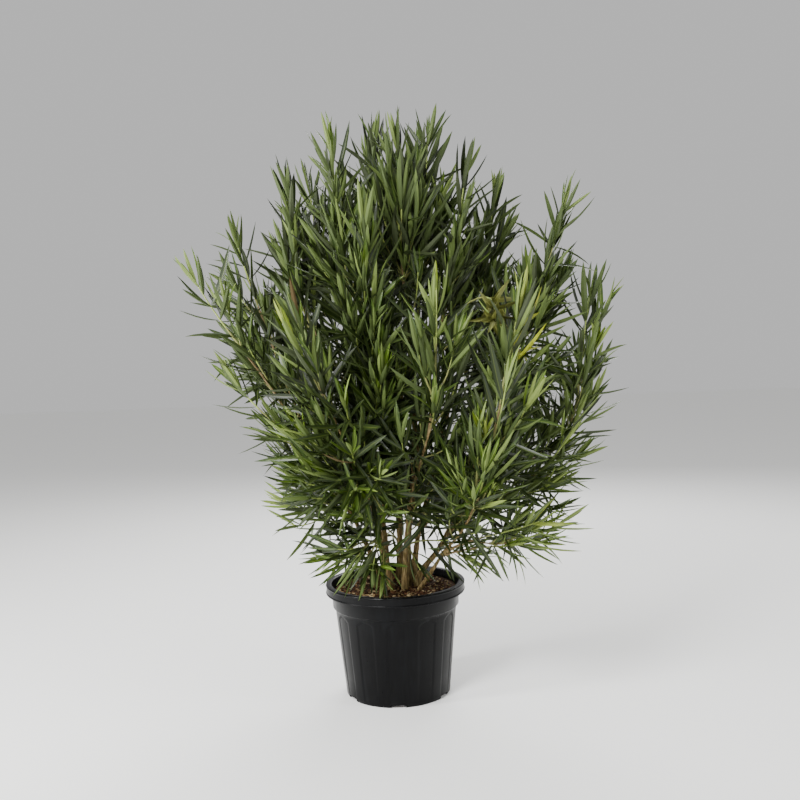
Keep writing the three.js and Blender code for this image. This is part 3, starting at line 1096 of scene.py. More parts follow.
@dataclass
class Crown:
    """The leafy crown: shoots fill each mass by a seeded rule and carry whorls of leaves.

    Args:
        skeleton: The limbs that the shoots grow on from.
        seed: Seed of every random draw.
        leaf_length: Length of a full-grown leaf.
        internode: Distance between the whorls of full-grown leaves.
        shoot_spacing: The least distance between the tips of shoots.
        inset: How far inside a mass its side shoots end.
        tries_per_litre: Places that are tried for a tip in each litre of a mass's box.
        overshoot: How far a leaf may reach out of the masses.
        masses: The masses of foliage, read from the frame.
        shoots: The shoots grown so far.
        tips: Where those shoots end.
        leaves: The leaves grown so far, by tint.
    """

    skeleton: Skeleton
    seed: int = 41
    leaf_length: float = 0.130
    internode: float = 41 * MM
    shoot_spacing: float = 46 * MM
    inset: float = 22 * MM
    tries_per_litre: float = 40.0
    overshoot: float = 30 * MM
    masses: list[Mass] = field(default_factory=list)
    shoots: list[Shoot] = field(default_factory=list)
    tips: list[Vector] = field(default_factory=list)
    leaves: dict[Tint, list[Leaf]] = field(default_factory=dict)

    PATTERNS = (
        LeafPattern(arch=-0.12, fold=0.32, sweep=0.03),
        LeafPattern(arch=0.06, fold=0.36, sweep=0.07),
        LeafPattern(arch=-0.22, fold=0.28, sweep=-0.06),
        LeafPattern(arch=0.24, fold=0.22, widest=0.42, sweep=0.05),
        LeafPattern(arch=-0.34, fold=0.38, widest=0.5, sweep=-0.03),
        LeafPattern(arch=0.85, fold=0.80, widest=0.4, sweep=0.16),
    )
    CURLED = 5
    LEAVES_PER_PIECE = 3000
    SHORTEST = 0.55
    LEAVES_PER_WHORL = 3
    # Length of the leaves at the tip as a share of full-grown ones, and what each whorl adds.
    YOUNGEST, GROWTH = 0.56, 0.16
    # Distance from the tip to the next whorl as a share of the usual one, and what each whorl adds.
    CLOSEST, OPENING = 0.3, 0.2
    # How far chance leans and rolls a leaf, in degrees.
    LEAN_CHANCE, ROLL_CHANCE = 10, 24
    SHOOT_BARKS = (("green", "#8c9c4c"), ("ripening", "#81844a"), ("woody", "#7a6844"))
    # Painted light on a spray, dealt as tints: its least, what standing out, back and high add to it, and
    # its chance.
    LIT, LIT_OUT, LIT_BACK, LIT_HIGH, LIT_CHANCE = 0.08, 0.5, -0.3, -0.3, 0.16
    # Shoots that end below the first height arch over, and those below the second, or farther to
    # the side than the third distance, spread.
    ARCH_BELOW, SPREAD_BELOW, SPREAD_BEYOND = 0.46, 0.74, 0.32
    STRETCH = 28 * MM
    # Tint sets of tip, middle and lower leaves, from the most painted light to the deepest painted shade;
    # BRIGHT's tip is the young leaves' own green.
    BRIGHT = (Tint.FRESH, Tint.LIGHT, Tint.MID)
    GREEN = (Tint.LIGHT, Tint.MID, Tint.DARK)
    SHADY = (Tint.MID, Tint.DARK, Tint.SHADED)
    DEEP = (Tint.DARK, Tint.SHADED, Tint.SHADED)
    ACCENTS = (
        # Bright shoots at the front and low at the right, young at the tip and painted light below, then
        # two at the right shoulder.
        Accent((0.218, -0.24, 0.62), (0.288, -0.30, 0.93), BRIGHT, stretch=1.5),
        Accent((0.111, -0.22, 0.77), (0.111, -0.27, 0.955), BRIGHT, stretch=1.6),
        Accent((0.206, -0.24, 0.53), (0.200, -0.31, 0.655), BRIGHT, vigour=0.75, stretch=1.4),
        Accent((-0.104, -0.14, 0.63), (-0.208, -0.21, 0.88), BRIGHT, vigour=0.9, stretch=1.6),
        Accent((0.10, -0.10, 0.34), (0.325, -0.20, 0.44), BRIGHT),
        Accent((0.10, -0.06, 0.34), (0.335, -0.12, 0.375), (Tint.YOUNG, Tint.LIGHT, Tint.MID)),
        Accent((0.27, -0.04, 0.66), (0.365, -0.06, 0.90), GREEN),
        Accent((0.27, 0.06, 0.66), (0.345, 0.08, 0.95), GREEN),
        # Shoots low behind the stems and beside them, dealt dark tints as painted shade.
        Accent((0.05, 0.12, 0.36), (0.12, 0.20, 0.46), DEEP),
        Accent((0.09, 0.02, 0.36), (0.17, 0.06, 0.43), DEEP),
        Accent((0.06, 0.05, 0.36), (0.10, 0.13, 0.52), DEEP),
        Accent((0.12, 0.06, 0.36), (0.20, 0.14, 0.50), DEEP),
        Accent((0.04, 0.10, 0.36), (0.03, 0.22, 0.48), DEEP),
        Accent((-0.04, 0.08, 0.36), (-0.08, 0.20, 0.46), DEEP),
        Accent((0.10, 0.02, 0.38), (0.16, 0.02, 0.36), DEEP),
        Accent((0.08, 0.06, 0.40), (0.13, 0.10, 0.39), DEEP),
        Accent((0.06, 0.02, 0.42), (0.10, 0.00, 0.44), SHADY),
        Accent((0.02, 0.08, 0.38), (0.05, 0.16, 0.38), DEEP),
        Accent((0.10, -0.02, 0.40), (0.15, -0.04, 0.45), SHADY),
        Accent((0.13, -0.02, 0.34), (0.24, 0.02, 0.36), SHADY),
        Accent((-0.05, 0.02, 0.36), (-0.16, 0.03, 0.42), SHADY),
        Accent((-0.03, -0.04, 0.34), (-0.13, -0.09, 0.37), SHADY),
        # Sprays that hang over the rim, stand in front of the stems or spread above the rim; the SHADY
        # and DEEP ones paint shade under the crown.
        Accent((-0.03, -0.03, 0.38), (-0.070, -0.135, 0.325), SHADY, habit=Habit.HANGING),
        Accent((-0.02, -0.03, 0.37), (-0.025, -0.130, 0.320), GREEN, habit=Habit.HANGING),
        Accent((-0.04, -0.04, 0.37), (-0.048, -0.140, 0.335), DEEP, habit=Habit.HANGING),
        Accent((0.02, -0.03, 0.40), (0.060, -0.120, 0.48), SHADY),
        Accent((0.00, -0.03, 0.42), (-0.060, -0.140, 0.45), GREEN),
        Accent((0.06, -0.02, 0.42), (0.115, -0.120, 0.44), SHADY),
        Accent((0.05, -0.02, 0.36), (0.130, -0.100, 0.385), DEEP),
        Accent((-0.02, -0.02, 0.36), (-0.070, -0.100, 0.395), DEEP),
        Accent((-0.05, -0.02, 0.38), (-0.105, -0.110, 0.330), GREEN, habit=Habit.HANGING),
        Accent((0.02, -0.04, 0.37), (0.060, -0.130, 0.325), SHADY, vigour=0.9, habit=Habit.HANGING),
        Accent((-0.05, -0.02, 0.31), (-0.125, -0.095, 0.340), GREEN),
        Accent((-0.06, 0.02, 0.32), (-0.175, -0.015, 0.345), SHADY),
        Accent((0.08, 0.00, 0.33), (0.175, -0.045, 0.345), GREEN),
    )
    WITHERED_SPRAY = Accent(
        (0.242, -0.27, 0.94), (0.228, -0.30, 0.89), (Tint.WITHERED,) * 3, vigour=0.38, bare=0.7,
        stretch=0.35, habit=Habit.HANGING)
    TURNED_LEAVES = (
        ((0.338, -0.26, 0.868), Tint.YELLOW, 2),
        ((0.354, -0.26, 0.814), Tint.YELLOW, 2),
        ((-0.204, -0.24, 0.945), Tint.DEAD, 1),
        ((-0.130, -0.30, 0.577), Tint.DEAD, 1),
    )
    # How much wider apart the shoots of the open masses stand.
    OPENNESS = {
        "foliage_far_left": 1.7,
        "foliage_left_upper": 1.8,
        "foliage_left_middle": 1.9,
        "foliage_front": 1.5,
        "foliage_front_left": 1.5,
        "foliage_front_right": 1.2,
        "foliage_right_low": 1.1,
        "foliage_front_low": 1.1,
        "foliage_front_low_left": 1.1,
    }

    def __post_init__(self) -> None:
        """Reads the masses and starts the seeded draw."""
        self.draw = random.Random(self.seed)
        names = sorted(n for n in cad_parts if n.startswith("foliage_"))
        self.masses = [Mass.from_frame(n, self.skeleton) for n in names]
        self.leaves = {tint: [] for tint in Tint}

    # ---- shoots
    def tints_for(self, place: Vector) -> tuple[Tint, Tint, Tint]:
        """Deals a spray its tints as painted light and shade: brighter where it stands out from the
        middle, to the front and low down, darker inside and at the back.

        Args:
            place: The spray's tip.

        Returns:
            The tints of its tip, its middle and its lower leaves.
        """
        half_width, half_depth, half_height, middle = 0.5, 0.4, 0.6, 0.8
        out = math.hypot(
            place.x / half_width, place.y / half_depth, (place.z - middle) / half_height)
        light = (self.LIT + self.LIT_OUT * out + self.LIT_BACK * place.y
                 + self.LIT_HIGH * (place.z - 0.75) + self.draw.gauss(0, self.LIT_CHANCE))
        # The deals run from painted shade to painted light; the most lit sprays get the young leaves'
        # tint at the tip.
        deals = (
            (0.25, (Tint.MID, Tint.SHADED, Tint.SHADED)),
            (0.45, self.SHADY),
            (0.62, (Tint.LIGHT, Tint.DARK, Tint.DARK)),
            (0.78, (Tint.LIGHT, Tint.MID, Tint.DARK)),
            (0.95, (Tint.YOUNG, Tint.MID, Tint.DARK)),
            (math.inf, (Tint.YOUNG, Tint.LIGHT, Tint.MID)),
        )
        return next(deal for limit, deal in deals if light < limit)

    def habit_at(self, place: Vector) -> Habit:
        """Says how leaves stand on a shoot that ends at a place."""
        if place.z < self.ARCH_BELOW:
            return Habit.ARCHING
        spreads = place.z < self.SPREAD_BELOW or abs(place.x) > self.SPREAD_BEYOND
        return Habit.SPREADING if spreads else Habit.UPRIGHT

    def grow_leader(self, mass: Mass) -> Shoot:
        """Grows the shoot that runs from a mass's foot to its tip.

        Args:
            mass: The mass.

        Returns:
            The leading shoot.
        """
        to_tip = (mass.tip - mass.start).normalized()
        end = mass.tip - to_tip * self.leaf_length * 0.55
        finish = (to_tip + UP * 0.25).normalized()
        steps = max(6, round(mass.span / (30 * MM)))
        foot_radius, tip_radius, bare, stiffness = Grade.LEADER.value
        path = bent_path(mass.start, mass.heading, end, finish, stiffness, steps)
        leader = Shoot(path, foot_radius, tip_radius, bare=bare, habit=self.habit_at(end),
                       tints=self.tints_for(end))
        self.shoots.append(leader)
        self.tips.append(end)
        return leader

    def grow_mass(self, mass: Mass) -> None:
        """Fills a mass with a leading shoot and side shoots that branch from it.

        Args:
            mass: The mass.
        """
        stem = self.grow_leader(mass).limb()
        size = mass.high - mass.low
        litres = size.x * size.y * size.z * 1000
        tries = round(litres * self.tries_per_litre)
        spacing = self.shoot_spacing * self.OPENNESS.get(mass.name, 1.0)
        inset = min(self.inset, 0.2 * min(size))
        for _ in range(tries):
            end = Vector([self.draw.uniform(mass.low[i], mass.high[i]) for i in range(3)])
            crowded = any((end - tip).length < spacing for tip in self.tips)
            if not crowded and mass.outside(end) < -inset:
                self.grow_side(stem, end)

    def grow_side(self, stem: Limb, end: Vector) -> None:
        """Grows one side shoot that leaves a stem and bends up to run beside it.

        Args:
            stem: The stem that it branches from.
            end: Where it ends.
        """
        length = stem.length()
        stretches = 24
        marks = [stem.at(length * i / stretches) for i in range(stretches + 1)]
        nearest = min(range(stretches + 1), key=lambda i: (marks[i][0] - end).length)
        beside, onward, _ = marks[nearest]
        out = end - beside
        # It forks from the stem well below the place beside its end.
        drop = out.length * 1.25 + 55 * MM
        fork, heading, radius = stem.at(max(length * 0.02, length * nearest / stretches - drop))
        across = (out - onward * out.dot(onward)).normalized()
        leave = (heading + across * self.draw.uniform(0.5, 0.9)).normalized()
        finish = (onward + across * self.draw.uniform(0.15, 0.5) + UP * 0.35).normalized()
        steps = max(5, round((end - fork).length / self.STRETCH))
        foot_radius, tip_radius, bare, stiffness = Grade.SIDE.value
        path = bent_path(fork, leave, end, finish, stiffness, steps)
        self.shoots.append(Shoot(
            path, min(foot_radius, radius * 0.8), tip_radius, bare=bare, habit=self.habit_at(end),
            tints=self.tints_for(end), vigour=self.draw.uniform(0.82, 1.1)))
        self.tips.append(end)

    def grow_accent(self, accent: Accent) -> Shoot:
        """Grows a shoot that stands out.

        Args:
            accent: What it looks like and where it goes.

        Returns:
            The shoot.
        """
        start, heading = self.skeleton.nearest(Vector(accent.foot))
        end = Vector(accent.tip)
        finish = (end - Vector(accent.foot)).normalized()
        leave = (heading + (end - start).normalized()).normalized()
        steps = max(6, round((end - start).length / self.STRETCH))
        foot_radius, tip_radius, bare, stiffness = Grade.ACCENT.value
        shoot = Shoot(
            bent_path(start, leave, end, finish, stiffness, steps), foot_radius, tip_radius,
            bare=accent.bare or bare, habit=accent.habit or self.habit_at(end),
            tints=accent.tints, vigour=accent.vigour, stretch=accent.stretch)
        self.shoots.append(shoot)
        self.tips.append(end)
        return shoot

    def turn_leaves(self, place: Vector, tint: Tint, count: int) -> None:
        """Turns the leaves nearest a place to another tint, as old leaves turn here and there.

        Args:
            place: Where to look.
            tint: The new tint.
            count: How many leaves turn.
        """
        green = [t for t in Tint if t not in (Tint.YELLOW, Tint.WITHERED, Tint.DEAD)]
        found = [(((leaf.origin + leaf.along * leaf.length / 2) - place).length, t.name, i)
                 for t in green for i, leaf in enumerate(self.leaves[t])]
        chosen = sorted(found)[:count]
        for _, name, i in sorted(chosen, key=lambda hit: -hit[2]):
            self.leaves[tint].append(self.leaves[Tint[name]].pop(i))

    def grow_on_limb(self, limb: Limb, lowest: float = 0.38, close_below: float = 0.62,
                     spacing: float = 46 * MM) -> None:
        """Grows short leafy shoots straight from old wood, which fill the heart of the crown.

        Args:
            limb: The limb.
            lowest: No shoot leaves the limb below this height.
            close_below: Below this height the shoots stand closer.
            spacing: Distance between shoots.
        """
        distance = limb.length() * 0.08
        turn = self.draw.uniform(0, math.tau)
        while distance < limb.length() - 30 * MM:
            place, heading, radius = limb.at(distance)
            closeness = 0.6 if place.z < close_below else 1.0
            distance += spacing * closeness * self.draw.uniform(0.7, 1.4)
            turn += GOLDEN_ANGLE
            if place.z < lowest:
                continue
            across = heading.orthogonal().normalized()
            across.rotate(Quaternion(heading, turn))
            reach = self.draw.uniform(70, 150) * MM
            end = place + across * reach * 0.55 + heading * reach * 0.8
            leave = (across + heading * 0.7).normalized()
            finish = (heading + across * 0.3 + UP * 0.4).normalized()
            foot_radius, tip_radius, bare, stiffness = Grade.SHORT.value
            path = bent_path(place, leave, end, finish, stiffness, 5)
            # They are dealt the SHADY tints as painted shade in the heart of the crown.
            self.shoots.append(Shoot(
                path, min(foot_radius, radius * 0.7), tip_radius, bare=bare, habit=Habit.SPREADING,
                tints=self.SHADY, vigour=self.draw.uniform(0.75, 1.0)))

    # ---- leaves
    def clearance(self, place: Vector, margin: float = 60 * MM) -> float:
        """Says how far a place lies outside every mass.

        Args:
            place: The place.
            margin: The largest distance that is looked for.

        Returns:
            The smallest distance outside, negative where some mass holds it.
        """
        best = margin
        for mass in self.masses:
            inside_box = all(
                mass.low[i] - margin < place[i] < mass.high[i] + margin for i in range(3))
            if inside_box:
                best = min(best, mass.outside(place))
                if best < 0:
                    break
        return best

    @staticmethod
    def meets_pot(leaf: Leaf) -> bool:
        """Says whether a leaf would run through the pot or the soil.

        Args:
            leaf: The leaf.

        Returns:
            True where its midline comes into them.
        """
        chips, within, wall, gap = 8 * MM, 10 * MM, 24 * MM, 6 * MM
        for share in (0.25, 0.5, 0.75, 1.0):
            place = leaf.origin + leaf.along * leaf.length * share
            reach = place.xy.length
            if place.z < SOIL_TOP + chips and reach < RIM_RADIUS - within:
                return True
            in_wall = RIM_RADIUS - wall < reach < RIM_RADIUS + gap
            if in_wall and place.z < RIM_TOP + 4 * MM:
                return True
        return False

    def leaf_at(self, place: Vector, heading: Vector, bearing: Vector, angle: float,
                length: float, curled: bool) -> Leaf:
        """Sets a leaf at an angle to its shoot, with a little chance in its stance.

        Args:
            place: Where it leaves the shoot.
            heading: The shoot's direction.
            bearing: Direction straight out from the shoot.
            angle: Angle between the blade and the shoot, in degrees.
            length: Length of the blade.
            curled: Whether it is withered and curled up.

        Returns:
            The leaf.
        """
        lean = math.radians(angle + self.draw.gauss(0, self.LEAN_CHANCE))
        along = heading * math.cos(lean) + bearing * math.sin(lean)
        upper = heading * math.sin(lean) - bearing * math.cos(lean)
        along.normalize()
        upper.rotate(Quaternion(along, math.radians(self.draw.gauss(0, self.ROLL_CHANCE))))
        # The pattern that bends back is likelier on the leaves that stand far out.
        weights = (3, 2.4, 3.5, 0.4 + angle / 60, 3)
        pattern = self.draw.choices(range(self.CURLED), weights)[0]
        # Short leaves are broad for their length, and the leaves low on the plant are slender.
        broad = self.draw.uniform(0.8, 1.15) * (self.leaf_length / length) ** 0.45
        broad *= 1.7 if curled else min(1.0, 0.6 + 0.5 * place.z)
        return Leaf(place, along, upper, length, broad, self.CURLED if curled else pattern)

    def dress(self, shoot: Shoot) -> None:
        """Sets whorls of leaves along a shoot, from its tip down.

        Args:
            shoot: The shoot.
        """
        stem = shoot.limb()
        length = stem.length()
        start_angle, per_whorl, widest = shoot.habit.value
        across = stem.heading.orthogonal().normalized()
        turn = self.draw.uniform(0, math.tau)
        distance, whorl = length, 0
        while distance > length * shoot.bare:
            place, heading, radius = stem.at(distance)
            out = (across - heading * across.dot(heading)).normalized()
            growth = min(1.0, self.YOUNGEST + self.GROWTH * whorl)
            angle = min(widest, start_angle + per_whorl * whorl)
            # Tip leaves take the first tint and lower whorls the darker ones: younger growth at the tip
            # and painted shade lower on the spray.
            tint = shoot.tints[0 if whorl < 2 else 1 if whorl < 4 else 2]
            for k in range(self.LEAVES_PER_WHORL):
                bearing = out.copy()
                around = turn + k * math.tau / self.LEAVES_PER_WHORL + self.draw.gauss(0, 0.14)
                bearing.rotate(Quaternion(heading, around))
                blade = self.leaf_length * shoot.vigour * growth * self.draw.uniform(0.84, 1.14)
                origin = place + bearing * radius * 0.6
                self.keep(self.leaf_at(origin, heading, bearing, angle, blade, shoot.curled), tint)
            turn += math.pi / self.LEAVES_PER_WHORL
            step = self.internode * shoot.stretch * (self.CLOSEST + self.OPENING * min(whorl, 4))
            distance -= step * self.draw.uniform(0.85, 1.2)
            whorl += 1

    def keep(self, leaf: Leaf, tint: Tint) -> None:
        """Keeps a leaf if it stays within the crown's outline and clear of the pot.

        Args:
            leaf: The leaf.
            tint: Its tint.
        """
        over = self.clearance(leaf.origin + leaf.along * leaf.length)
        if over > self.overshoot:
            short = leaf.length - (over - self.overshoot) * 0.9
            if short < self.SHORTEST * self.leaf_length:
                return
            leaf = Leaf(leaf.origin, leaf.along, leaf.upper, short, leaf.broad, leaf.pattern)
        if self.meets_pot(leaf) or not self.within_box(leaf.origin + leaf.along * leaf.length):
            return
        self.leaves[tint].append(leaf)

    @staticmethod
    def within_box(place: Vector, allowed: float = 0.02) -> bool:
        """Says whether a place keeps to the plant's overall size.

        Args:
            place: The place.
            allowed: How far it may stand out, in metres.

        Returns:
            True inside the box.
        """
        low, high = CAD_BOX
        return all(low[i] - allowed < place[i] < high[i] + allowed for i in range(3))

    # ---- pieces
    def build_leaves(self) -> list[tuple[bpy.types.Object, Tint]]:
        """Joins the leaves of each tint into a piece.

        Returns:
            The leaf pieces with their tints.
        """
        shapes = [pattern.model() for pattern in self.PATTERNS]
        pieces = []
        for tint, leaves in self.leaves.items():
            for first in range(0, len(leaves), self.LEAVES_PER_PIECE):
                gathering = Gathering()
                for leaf in leaves[first:first + self.LEAVES_PER_PIECE]:
                    shape = shapes[leaf.pattern]
                    gathering.add(shape, shape.corners @ leaf.basis() + np.array(leaf.origin))
                name = f"leaves_{tint.name.lower()}_{first // self.LEAVES_PER_PIECE + 1}"
                pieces.append((gathering.build(name, tint.materials()), tint))
            LOG.info("%s: %d leaves", tint.name.lower(), len(leaves))
        return pieces

    def build_shoots(self, sides: int = 6) -> bpy.types.Object:
        """Joins the green stems of all the shoots into one piece.

        Args:
            sides: Number of sides of a stem.

        Returns:
            The stems.
        """
        gathering = Gathering()
        for shoot in self.shoots:
            shape = tube_shape(shoot.limb(), sides, shoot.ripeness())
            gathering.add(shape, shape.corners)
        barks = [
            LeafTissue(f"shoot_bark_{name}", shade, roughness=0.55).material()
            for name, shade in self.SHOOT_BARKS
        ]
        return gathering.build("green_shoots", barks, sharp_from=60)

    def build(self) -> None:
        """Grows the crown and hands its pieces over."""
        for accent in self.ACCENTS:
            self.grow_accent(accent)
        self.grow_accent(self.WITHERED_SPRAY).curled = True
        for mass in self.masses:
            self.grow_mass(mass)
        for limb in self.skeleton.limbs.values():
            self.grow_on_limb(limb)
        for shoot in self.shoots:
            self.dress(shoot)
        for place, tint, count in self.TURNED_LEAVES:
            self.turn_leaves(Vector(place), tint, count)
        names = [mass.name for mass in self.masses]
        for piece, tint in self.build_leaves():
            hand_over(piece, names)
        hand_over(self.build_shoots())


# ------------------------------------------------------------------------------- the pot
@dataclass
class NurseryPot:
    """A moulded nursery pot with a rolled rim, a smooth collar and twelve shallow flutes."""

    height: float = 0.270
    rim_radius: float = 0.170
    mouth_radius: float = 0.155
    rim_depth: float = 23 * MM
    collar_radius: float = 0.154
    collar_depth: float = 37 * MM
    wall_top_radius: float = 0.148
    foot_radius: float = 0.127
    wall: float = 4 * MM
    floor: float = 5 * MM
    segments: int = 240
    flutes: int = 12
    flute_share: float = 0.62
    flute_depth: float = 1.3 * MM
    flute_slope: float = 2.8 * MM
    flute_foot: float = 9 * MM
    arch_rise: float = 16 * MM
    notches: int = 6
    notch_width: float = 35 * MM
    notch_height: float = 7 * MM
    notch_depth: float = 32 * MM
    notch_round: float = 2.5 * MM
    underside_lift: float = 3 * MM

    @property
    def collar_foot(self) -> float:
        """Height at which the wall meets the collar."""
        return self.height - self.rim_depth - self.collar_depth

    @property
    def arch_foot(self) -> float:
        """Height from which the flutes' tops arch over."""
        return self.collar_foot - self.arch_rise - 5 * MM

    def wall_radius(self, height: float) -> float:
        """Outer radius of the tapering wall at a height."""
        return self.foot_radius + (self.wall_top_radius - self.foot_radius) * height / self.collar_foot

    def profile(self) -> list[tuple[float, float]]:
        """Gives radius and height from the foot up the wall, over the rim and down the inside."""
        rim_foot = self.height - self.rim_depth
        levels = [self.flute_foot, 0.05, 0.10, 0.15]
        bands = 9
        levels += [self.arch_foot + self.arch_rise * i / bands for i in range(bands + 1)]
        outer = [(self.wall_radius(z), z) for z in levels]
        return [
            (self.foot_radius - 16 * MM, self.underside_lift),
            (self.foot_radius - 12 * MM, 0.4 * MM),
            (self.foot_radius - 3 * MM, 0.0),
            (self.foot_radius - 1 * MM, 0.6 * MM),
            (self.foot_radius, 2.5 * MM),
            *outer,
            (self.wall_top_radius, self.collar_foot),
            (self.wall_top_radius + 1.2 * MM, self.collar_foot + 1.5 * MM),
            (self.collar_radius - 1.2 * MM, self.collar_foot + 4 * MM),
            (self.collar_radius, self.collar_foot + 5.5 * MM),
            (self.collar_radius + 1 * MM, rim_foot - 3 * MM),
            (self.collar_radius + 2 * MM, rim_foot - 0.5 * MM),
            (self.rim_radius - 3 * MM, rim_foot),
            (self.rim_radius - 0.8 * MM, rim_foot + 0.8 * MM),
            (self.rim_radius, rim_foot + 2.5 * MM),
            (self.rim_radius - 0.3 * MM, rim_foot + 4 * MM),
            (self.rim_radius - 1.4 * MM, rim_foot + 5 * MM),
            (self.rim_radius - 1.4 * MM, self.height - 5 * MM),
            (self.rim_radius - 0.4 * MM, self.height - 4 * MM),
            (self.rim_radius, self.height - 2.5 * MM),
            (self.rim_radius - 1 * MM, self.height - 0.7 * MM),
            (self.rim_radius - 3 * MM, self.height),
            (self.mouth_radius + 2.5 * MM, self.height),
            (self.mouth_radius + 0.7 * MM, self.height - 0.8 * MM),
            (self.mouth_radius, self.height - 3 * MM),
            (self.collar_radius - self.wall, rim_foot - 4 * MM),
            (self.wall_top_radius - self.wall, self.collar_foot),
            (self.foot_radius - self.wall, self.floor),
        ]

    def turn(self) -> bpy.types.Object:
        """Draws the profile up ring by ring from a filled foot and fills its other end.

        Returns:
            The plain pot in edit mode.
        """
        (radius, height), *onward = self.profile()
        deselect_everything()
        bpy.ops.mesh.primitive_circle_add(
            vertices=self.segments, radius=radius, location=(0, 0, height), fill_type="NOTHING")
        pot = bpy.context.object
        pot.name = pot.data.name = "nursery_pot"
        settle(pot)
        bpy.ops.object.mode_set(mode="EDIT")
        bpy.ops.mesh.select_all(action="SELECT")
        bpy.ops.mesh.edge_face_add()
        for to_radius, to_height in onward:
            bpy.ops.mesh.extrude_region_move(
                TRANSFORM_OT_translate={"value": (0, 0, to_height - height)})
            share = to_radius / radius
            bpy.ops.transform.resize(value=(share, share, 1), center_override=(0, 0, 0))
            radius, height = to_radius, to_height
        bpy.ops.mesh.edge_face_add()
        return pot

    def in_flute(self, middle: Vector, normal: Vector) -> bool:
        """Says whether a face of the wall lies in a flute.

        Args:
            middle: The face's middle.
            normal: The face's normal.

        Returns:
            True for a face that is pressed in.
        """
        outward = middle.x * normal.x + middle.y * normal.y
        if outward < 0 or not self.flute_foot < middle.z < self.arch_foot + self.arch_rise:
            return False
        if middle.xy.length < self.wall_radius(middle.z) - 1 * MM:
            return False
        pitch = math.tau / self.flutes
        turn = (math.atan2(middle.y, middle.x) + math.pi / 2 + pitch / 2) % pitch - pitch / 2
        across = abs(turn) / (pitch * self.flute_share / 2)
        over = max(0.0, middle.z - self.arch_foot) / self.arch_rise
        return across ** 2 + over ** 2 < 1.0

    def press_flutes(self, pot: bpy.types.Object) -> None:
        """Presses the flutes into the wall, with sloping sides.

        Args:
            pot: The pot in edit mode.
        """
        bpy.ops.mesh.select_mode(type="FACE")
        select_faces(pot, self.in_flute)
        bpy.ops.mesh.inset(thickness=self.flute_slope, depth=-self.flute_depth, use_even_offset=True)
        bpy.ops.mesh.select_mode(type="VERT")

    def cut_notches(self, pot: bpy.types.Object) -> None:
        """Cuts the drain notches out of the foot.

        Args:
            pot: The pot in object mode.
        """
        blocks = []
        for i in range(self.notches):
            turn = (i + 0.5) * math.tau / self.notches
            deselect_everything()
            bpy.ops.mesh.primitive_cube_add(size=1, location=(
                self.foot_radius * math.cos(turn), self.foot_radius * math.sin(turn), 0))
            block = bpy.context.object
            block.scale = (self.notch_depth, self.notch_width, 2 * self.notch_height)
            block.rotation_euler.z = turn
            settle(block)
            apply_modifier(block, "BEVEL", width=self.notch_round, segments=3)
            blocks.append(block)
        deselect_everything()
        for block in blocks:
            block.select_set(True)
        bpy.context.view_layer.objects.active = blocks[0]
        bpy.ops.object.join()
        cutter = bpy.context.object
        apply_modifier(pot, "BOOLEAN", object=cutter, operation="DIFFERENCE", solver="EXACT")
        bpy.data.objects.remove(cutter)

    def build(self) -> bpy.types.Object:
        """Builds and dresses the pot.

        Returns:
            The finished pot.
        """
        pot = self.turn()
        bpy.ops.mesh.select_all(action="SELECT")
        bpy.ops.mesh.normals_make_consistent(inside=False)
        self.press_flutes(pot)
        bpy.ops.object.mode_set(mode="OBJECT")
        self.cut_notches(pot)
        pot.data.materials.clear()
        pot.data.materials.append(MouldedPolypropylene().material())
        work_on(pot)
        bpy.ops.object.shade_smooth_by_angle(angle=math.radians(38))
        hand_over(pot, ["pot"])
        return pot


